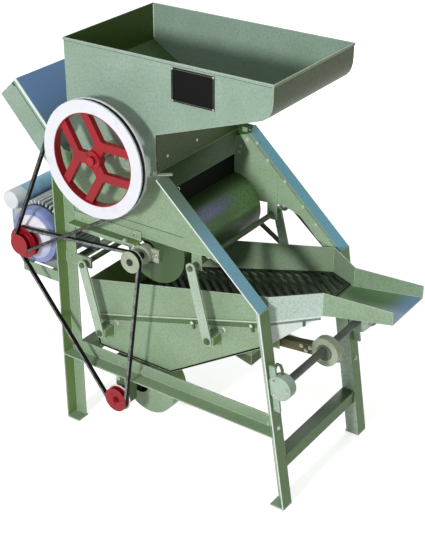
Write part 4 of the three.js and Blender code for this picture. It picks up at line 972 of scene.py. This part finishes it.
def sieveDetails(t):
    high, iron = t["ledgeHigh"], "cast_iron"
    for label, side in sides:
        y, normal = side * t["half"], (0, side, 0)
        thick, tall = t["band"]
        ledge = [(x, y, z) for x, z in t["ledge"]]
        band = [(x, y, z - (high + tall) / 2) for x, z in t["ledge"]]
        stripRun("sieveLedge" + label, [ledge], t["ledgeOut"], high, normal, "rubbedDot", "sieve", arrisWidth=0.0008)
        # painted shadow: a dark band under the ledge
        stripRun("sieveBand" + label, [band], thick, tall, normal, "band", "sieve", arrisWidth=0.0002)
        outX, outY = t["funnelOut"]
        wall, outward = [(x, side * yy, z) for x, yy, z in t["funnel"]], (outX, side * outY, 0)
        seam = [(x, yy, z - t["seamDrop"]) for x, yy, z in wall]
        stripRun("funnelLedge" + label, [wall], t["funnelLedge"], high, outward, "rubbed", "sieve", arrisWidth=0.0006)
        stripRun("funnelBand" + label, [seam], *t["seam"], outward, "seam", "sieve", arrisWidth=0.0002)
        # a dark line along the sieve's lower edges
        hem = [(x, y, z) for x, z in t["hem"]]
        stripRun("sieveHem" + label, zip(hem, hem[1:]), *t["hemSize"], normal, "gap", "sieve", arrisWidth=0.0002)
        funnelSkirt("funnelSkirt" + label, t, side)
        slab("funnelClip" + label, t["hook"], *sorted(side * yy for yy in t["hookY"]), 1, "olive", "sieve", iron)
        fasteners("sieveHeads" + label, "bolt", [((x, y, z), normal) for x, z in t["heads"]], body="sieve", sized=1.1)
        outer = y + side * t["clipOut"]
        for i, (x, z) in enumerate(t["clips"]):
            outline = [(x + a, z + b) for a, b in t["clip"]]
            slab(f"sieveClip{label}{i + 1}", outline, *sorted((y, outer)), 1, "olive", "sieve", iron)
        a, b = t["clipRivet"]
        rivets = [((x + a, outer, z + b), normal) for x, z in t["clips"]]
        fasteners("clipRivets" + label, "rivet", rivets, body="sieve", sized=1.3)
        nuts = [((x, side * t["pinY"], z), normal) for x, z in t["pins"]]
        fasteners("hangerNuts" + label, "smallBolt", nuts, "olive", "sieve", sized=1.6)


sieveDetails(sieveTrim)
print("sieve trimmed")


# motor: turned body with a bell at the belt end, fins, feet, terminal box, screws and the capacitor's cap

motorShape = {
    "x": -0.492, "z": 0.588, "body": [(0, 0.022), (0.076, 0.022), (0.086, 0.010), (0.086, -0.012), (0.0885, -0.012),
                                      (0.0885, -0.184), (0, -0.184)],
    "rim": [(0.0675, -0.185), (0.086, -0.185), (0.0862, -0.206), (0.082, -0.216), (0.0675, -0.216)],
    "bell": [(0.0675, -0.184), (0.0675, -0.220), (0.058, -0.228), (0.032, -0.240), (0.0115, -0.240),
             (0.0115, -0.185)],
    "fins": 30, "finFrom": 0.087, "finTo": 0.0988, "finThick": 0.0052, "finNear": -0.181, "finFar": -0.016,
    "finsFrom": -38.0, "finsSweep": 256.0, "feetHalf": 0.076, "feetZ": (0.4803, 0.52), "feetY": (-0.184, -0.032),
    "feetDeep": 0.020, "footBolts": (0.066, 0.010, 0.5201), "box": (-0.6145, -0.566, 0.566, 0.6487, -0.176, -0.096),
    "lid": 0.004, "lidOver": 0.002, "lidScrews": (0.010, 0.010, 0.012), "boxScrew": (-0.60225, 0.588),
    "cap": [(0, -0.2122), (0.0258, -0.2122), (0.0289, -0.209), (0.0289, -0.166), (0.0281, -0.164), (0.0276, -0.164)],
    "capAt": (-0.583, 0.677), "capSteps": 40,
}


def finTree():  # blades set round an arc, each turned to point outwards
    g = Layout("finLayout", {
        "Geometry": "NodeSocketGeometry", "Thick": "NodeSocketFloat", "Tall": "NodeSocketFloat",
        "Long": "NodeSocketFloat", "Finish": "NodeSocketMaterial",
    })
    size = g.add("ShaderNodeCombineXYZ", None, [g.given("Tall"), g.given("Long"), g.given("Thick")])
    blade = g.add("GeometryNodeMeshCube", None, {"Size": size})
    points = g.add("GeometryNodeMeshToPoints", None, {"Mesh": g.given("Geometry")})
    facing = g.add("GeometryNodeInputNamedAttribute", {"data_type": "FLOAT_VECTOR"}, {"Name": "facing"})
    turned = g.add("FunctionNodeAxesToRotation", {"primary_axis": "Y", "secondary_axis": "X"}, {
        "Primary Axis": (0, 1, 0), "Secondary Axis": facing})
    return g.close(g.add("GeometryNodeInstanceOnPoints", None, {
        "Points": points, "Instance": blade, "Rotation": turned}))


def motorDetails(m):
    x, z, grey = m["x"], m["z"], "motor_grey"
    core = lathed("motorBodyPiece", m["body"], x, z, "motorCore", "frame", grey)
    lathed("motorBellRim", m["rim"], x, z, "motorRim", "frame", grey)
    lathed("motorBellCone", m["bell"], x, z, "motorBell", "frame", grey)
    middle, tall = (m["finFrom"] + m["finTo"]) / 2, m["finTo"] - m["finFrom"]
    y = (m["finNear"] + m["finFar"]) / 2
    spots = ringPoints(0, 0, 1.0, m["fins"], m["finsFrom"], m["finsSweep"])
    mesh = facingPoints("finPoints", [((x + a * middle, y, z + b * middle), (a, 0, b)) for a, b in spots])
    placed(runLayout("motorFins", mesh, finTree(), {
        "Thick": m["finThick"], "Tall": tall, "Long": m["finFar"] - m["finNear"], "Finish": finishes["motorFin"],
    }, "motorFin"), "frame")
    feet = rectangle(x - m["feetHalf"], x + m["feetHalf"], *m["feetZ"])
    for i, foot in enumerate(m["feetY"]):
        slab(f"motorFoot{i + 1}", feet, foot, foot + m["feetDeep"], 1, "motorBody", slot=grey, arrisWidth=0.002)
    x0, x1, z0, z1, y0, y1 = m["box"]
    lid, over = x0 + m["lid"], m["lidOver"]
    slab("terminalBox", rectangle(lid, x1, z0, z1), y0, y1, 1, "motorBox", slot=grey, arrisWidth=0.003)
    slab("terminalLid", rectangle(y0 - over, y1 + over, z0 - over, z1), x0, lid, 0, "motorBell", slot=grey,
         arrisWidth=0.0015)
    aside, low, high = m["lidScrews"]
    fasteners("lidScrews", "smallBolt", [
        ((x0, yy, zz), behindIt) for yy in (y0 + aside, y1 - aside) for zz in (z0 + low, z1 - high)], sized=0.8)
    screwX, screwZ = m["boxScrew"]
    fasteners("boxScrew", "smallBolt", [((screwX, y0, screwZ), nearSide)], "gap", sized=1.1)
    aside, deep, top = m["footBolts"]
    fasteners("footBolts", "bolt", [((x + a, yy + deep, top), upward) for a in (-aside, aside) for yy in m["feetY"]])
    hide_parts("motor_body")
    lathed("capacitorCap", m["cap"], *m["capAt"], "motorCap", "frame", "motor_blue", m["capSteps"])


motorDetails(motorShape)
print("motor built")


# wheels, bearings and crank: lugs, nuts, bolts and hooks

wheelTrim = {  # rings of heads as y, radius, count and first angle
    "rotor": (-0.196, 0.924), "lugs": (-0.2861, 0.0205, 3, 30.0), "fan": (-0.172, 0.165), "nutY": -0.268,
    "flange": [(0.0085, -0.2468), (0.0415, -0.2468), (0.0418, -0.2450), (0.0085, -0.2450)],
    "screws": (-0.2652, 0.019, 3, 10.0),
    "bearingBolts": [((x, y, z), (0, 1, 0)) for x, y, z in (
        (-0.232, 0.2033, 0.924), (-0.160, 0.2033, 0.924), (-0.134, 0.1965, 0.642), (-0.062, 0.1965, 0.642))],
    "fanBearingBolts": [((x, 0.2282, 0.216), (0, 1, 0)) for x in (-0.188, -0.156)],
}


def nearRing(centre, ring):
    y, *points = ring
    return [((x, y, z), nearSide) for x, z in ringPoints(*centre, *points)]


def wheelDetails(t):
    x, z = t["fan"]
    fasteners("rotorHubLugs", "weldDot", nearRing(t["rotor"], t["lugs"]), "wheel", "rotor", sized=1.25)
    lathed("fanFlange", t["flange"], x, z, "whiteWheel", "fan", "red_paint", 48)
    fasteners("fanHubNut", "pinNut", [((x, t["nutY"], z), nearSide)], "wheel", "fan", sized=0.8)
    fasteners("fanHubScrews", "rivet", nearRing(t["fan"], t["screws"]), "wheel", "fan")
    fasteners("bearingBolts", "bolt", mirrored(t["bearingBolts"]), sized=1.1)
    fasteners("fanBearingBolts", "smallBolt", mirrored(t["fanBearingBolts"]), sized=1.15)


crankTrim = {
    "faceY": 0.2283, "bolts": ((0.343, 0.408), (0.384, 0.390), (0.350, 0.363)), "hookY": 0.210, "hookThick": 0.0044,
    "hook": ((0.336, 0.4150), (0.337, 0.438), (0.343, 0.451), (0.353, 0.450), (0.359, 0.437), (0.359, 0.421)),
    "strapY": 0.0078, "strapBolts": ((0.316, 0.379), (0.303, 0.366), (0.288, 0.376)),
}


def crankDetails(t):
    for label, side in sides:
        bolts = [((x, side * t["faceY"], z), (0, side, 0)) for x, z in t["bolts"]]
        fasteners("crankCapBolts" + label, "smallBolt", bolts, sized=0.9)
        shape = bmesh.new()
        addRun(shape, [(x, side * t["hookY"], z) for x, z in t["hook"]],
               lambda i: ringPoints(0, 0, t["hookThick"], 10), (0, side, 0))
        shapePiece("crankHook" + label, shape, "olive", "frame", 0.0003)
    bolts = [((x, t["strapY"], z), nearSide) for x, z in t["strapBolts"]]
    fasteners("strapBolts", "smallBolt", bolts, body="strap", sized=0.9)


wheelDetails(wheelTrim)
crankDetails(crankTrim)
print("wheels and bearings dressed")


# stage and light

studio = {
    "floor": "f4f4f2", "floorHalf": 9, "floorZ": -0.0005, "aim": (0.0, 0.0, 0.6), "sky": 0.25, "page": 1.0,
    "glow": 0.66,
    "lamps": {  # place, size, power
        "keyLamp": ((0.15, -4.35, 2.1), 0.6, 122.0), "topLamp": ((0.3, -0.9, 3.6), 2.4, 12.0),
        "backLamp": ((-1.2, 4.2, 2.0), 2.6, 62.0),
    },
}


def areaLamp(name, place, size, power):
    data = bpy.data.lights.new(name, "AREA")
    data.shape, data.size, data.energy = "DISK", size, power
    lamp = bpy.data.objects.new(name, data)
    lamp.location = place
    lamp.rotation_euler = (Vector(studio["aim"]) - Vector(place)).to_track_quat("-Z", "Y").to_euler()
    bpy.context.collection.objects.link(lamp)


def pageWhite(graph):  # 1 where the camera, a mirror or glass looks straight at it
    rays = [graph.add("ShaderNodeLightPath", out=kind) for kind in (
        "Is Camera Ray", "Is Glossy Ray", "Is Transmission Ray")]
    return rays[0].maths("MAXIMUM", rays[0].maths("MAXIMUM", rays[0], rays[1]), rays[2])


def addFloor():
    s = Shader("paleFloor")
    seen = pageWhite(s)
    base = s.add("ShaderNodeBsdfDiffuse", None, {"Color": tint(studio["floor"])})
    glow = s.add("ShaderNodeEmission", None, {"Color": (1, 1, 1, 1), "Strength": studio["glow"]})
    both = s.add("ShaderNodeAddShader", None, [base, glow])
    mixed = s.add("ShaderNodeMixShader", None, [seen, base, both])
    s.add("ShaderNodeOutputMaterial", None, {"Surface": mixed})
    mesh = bpy.data.meshes.new("floorSheet")
    half = studio["floorHalf"]
    mesh.from_pydata([(x, y, studio["floorZ"]) for x, y in rectangle(-half, half, -half, half)], [], [(0, 1, 2, 3)])
    floor = bpy.data.objects.new("floorSheet", mesh)
    bpy.context.collection.objects.link(floor)
    mesh.materials.append(s.material)


def addSky():
    world = bpy.data.worlds.new("studioSky")
    bpy.context.scene.world = world
    world.use_nodes = True
    g = Graph(world.node_tree)
    plain, white = (g.add("ShaderNodeBackground", None, {"Color": (1, 1, 1, 1), "Strength": studio[key]})
                    for key in ("sky", "page"))
    mixed = g.add("ShaderNodeMixShader", None, [pageWhite(g), plain, white])
    g.add("ShaderNodeOutputWorld", None, {"Surface": mixed})


addFloor()
addSky()
for lamp, settings in studio["lamps"].items():
    areaLamp(lamp, *settings)
bpy.context.scene.view_settings.view_transform = "Standard"
print("stage and lamps set")
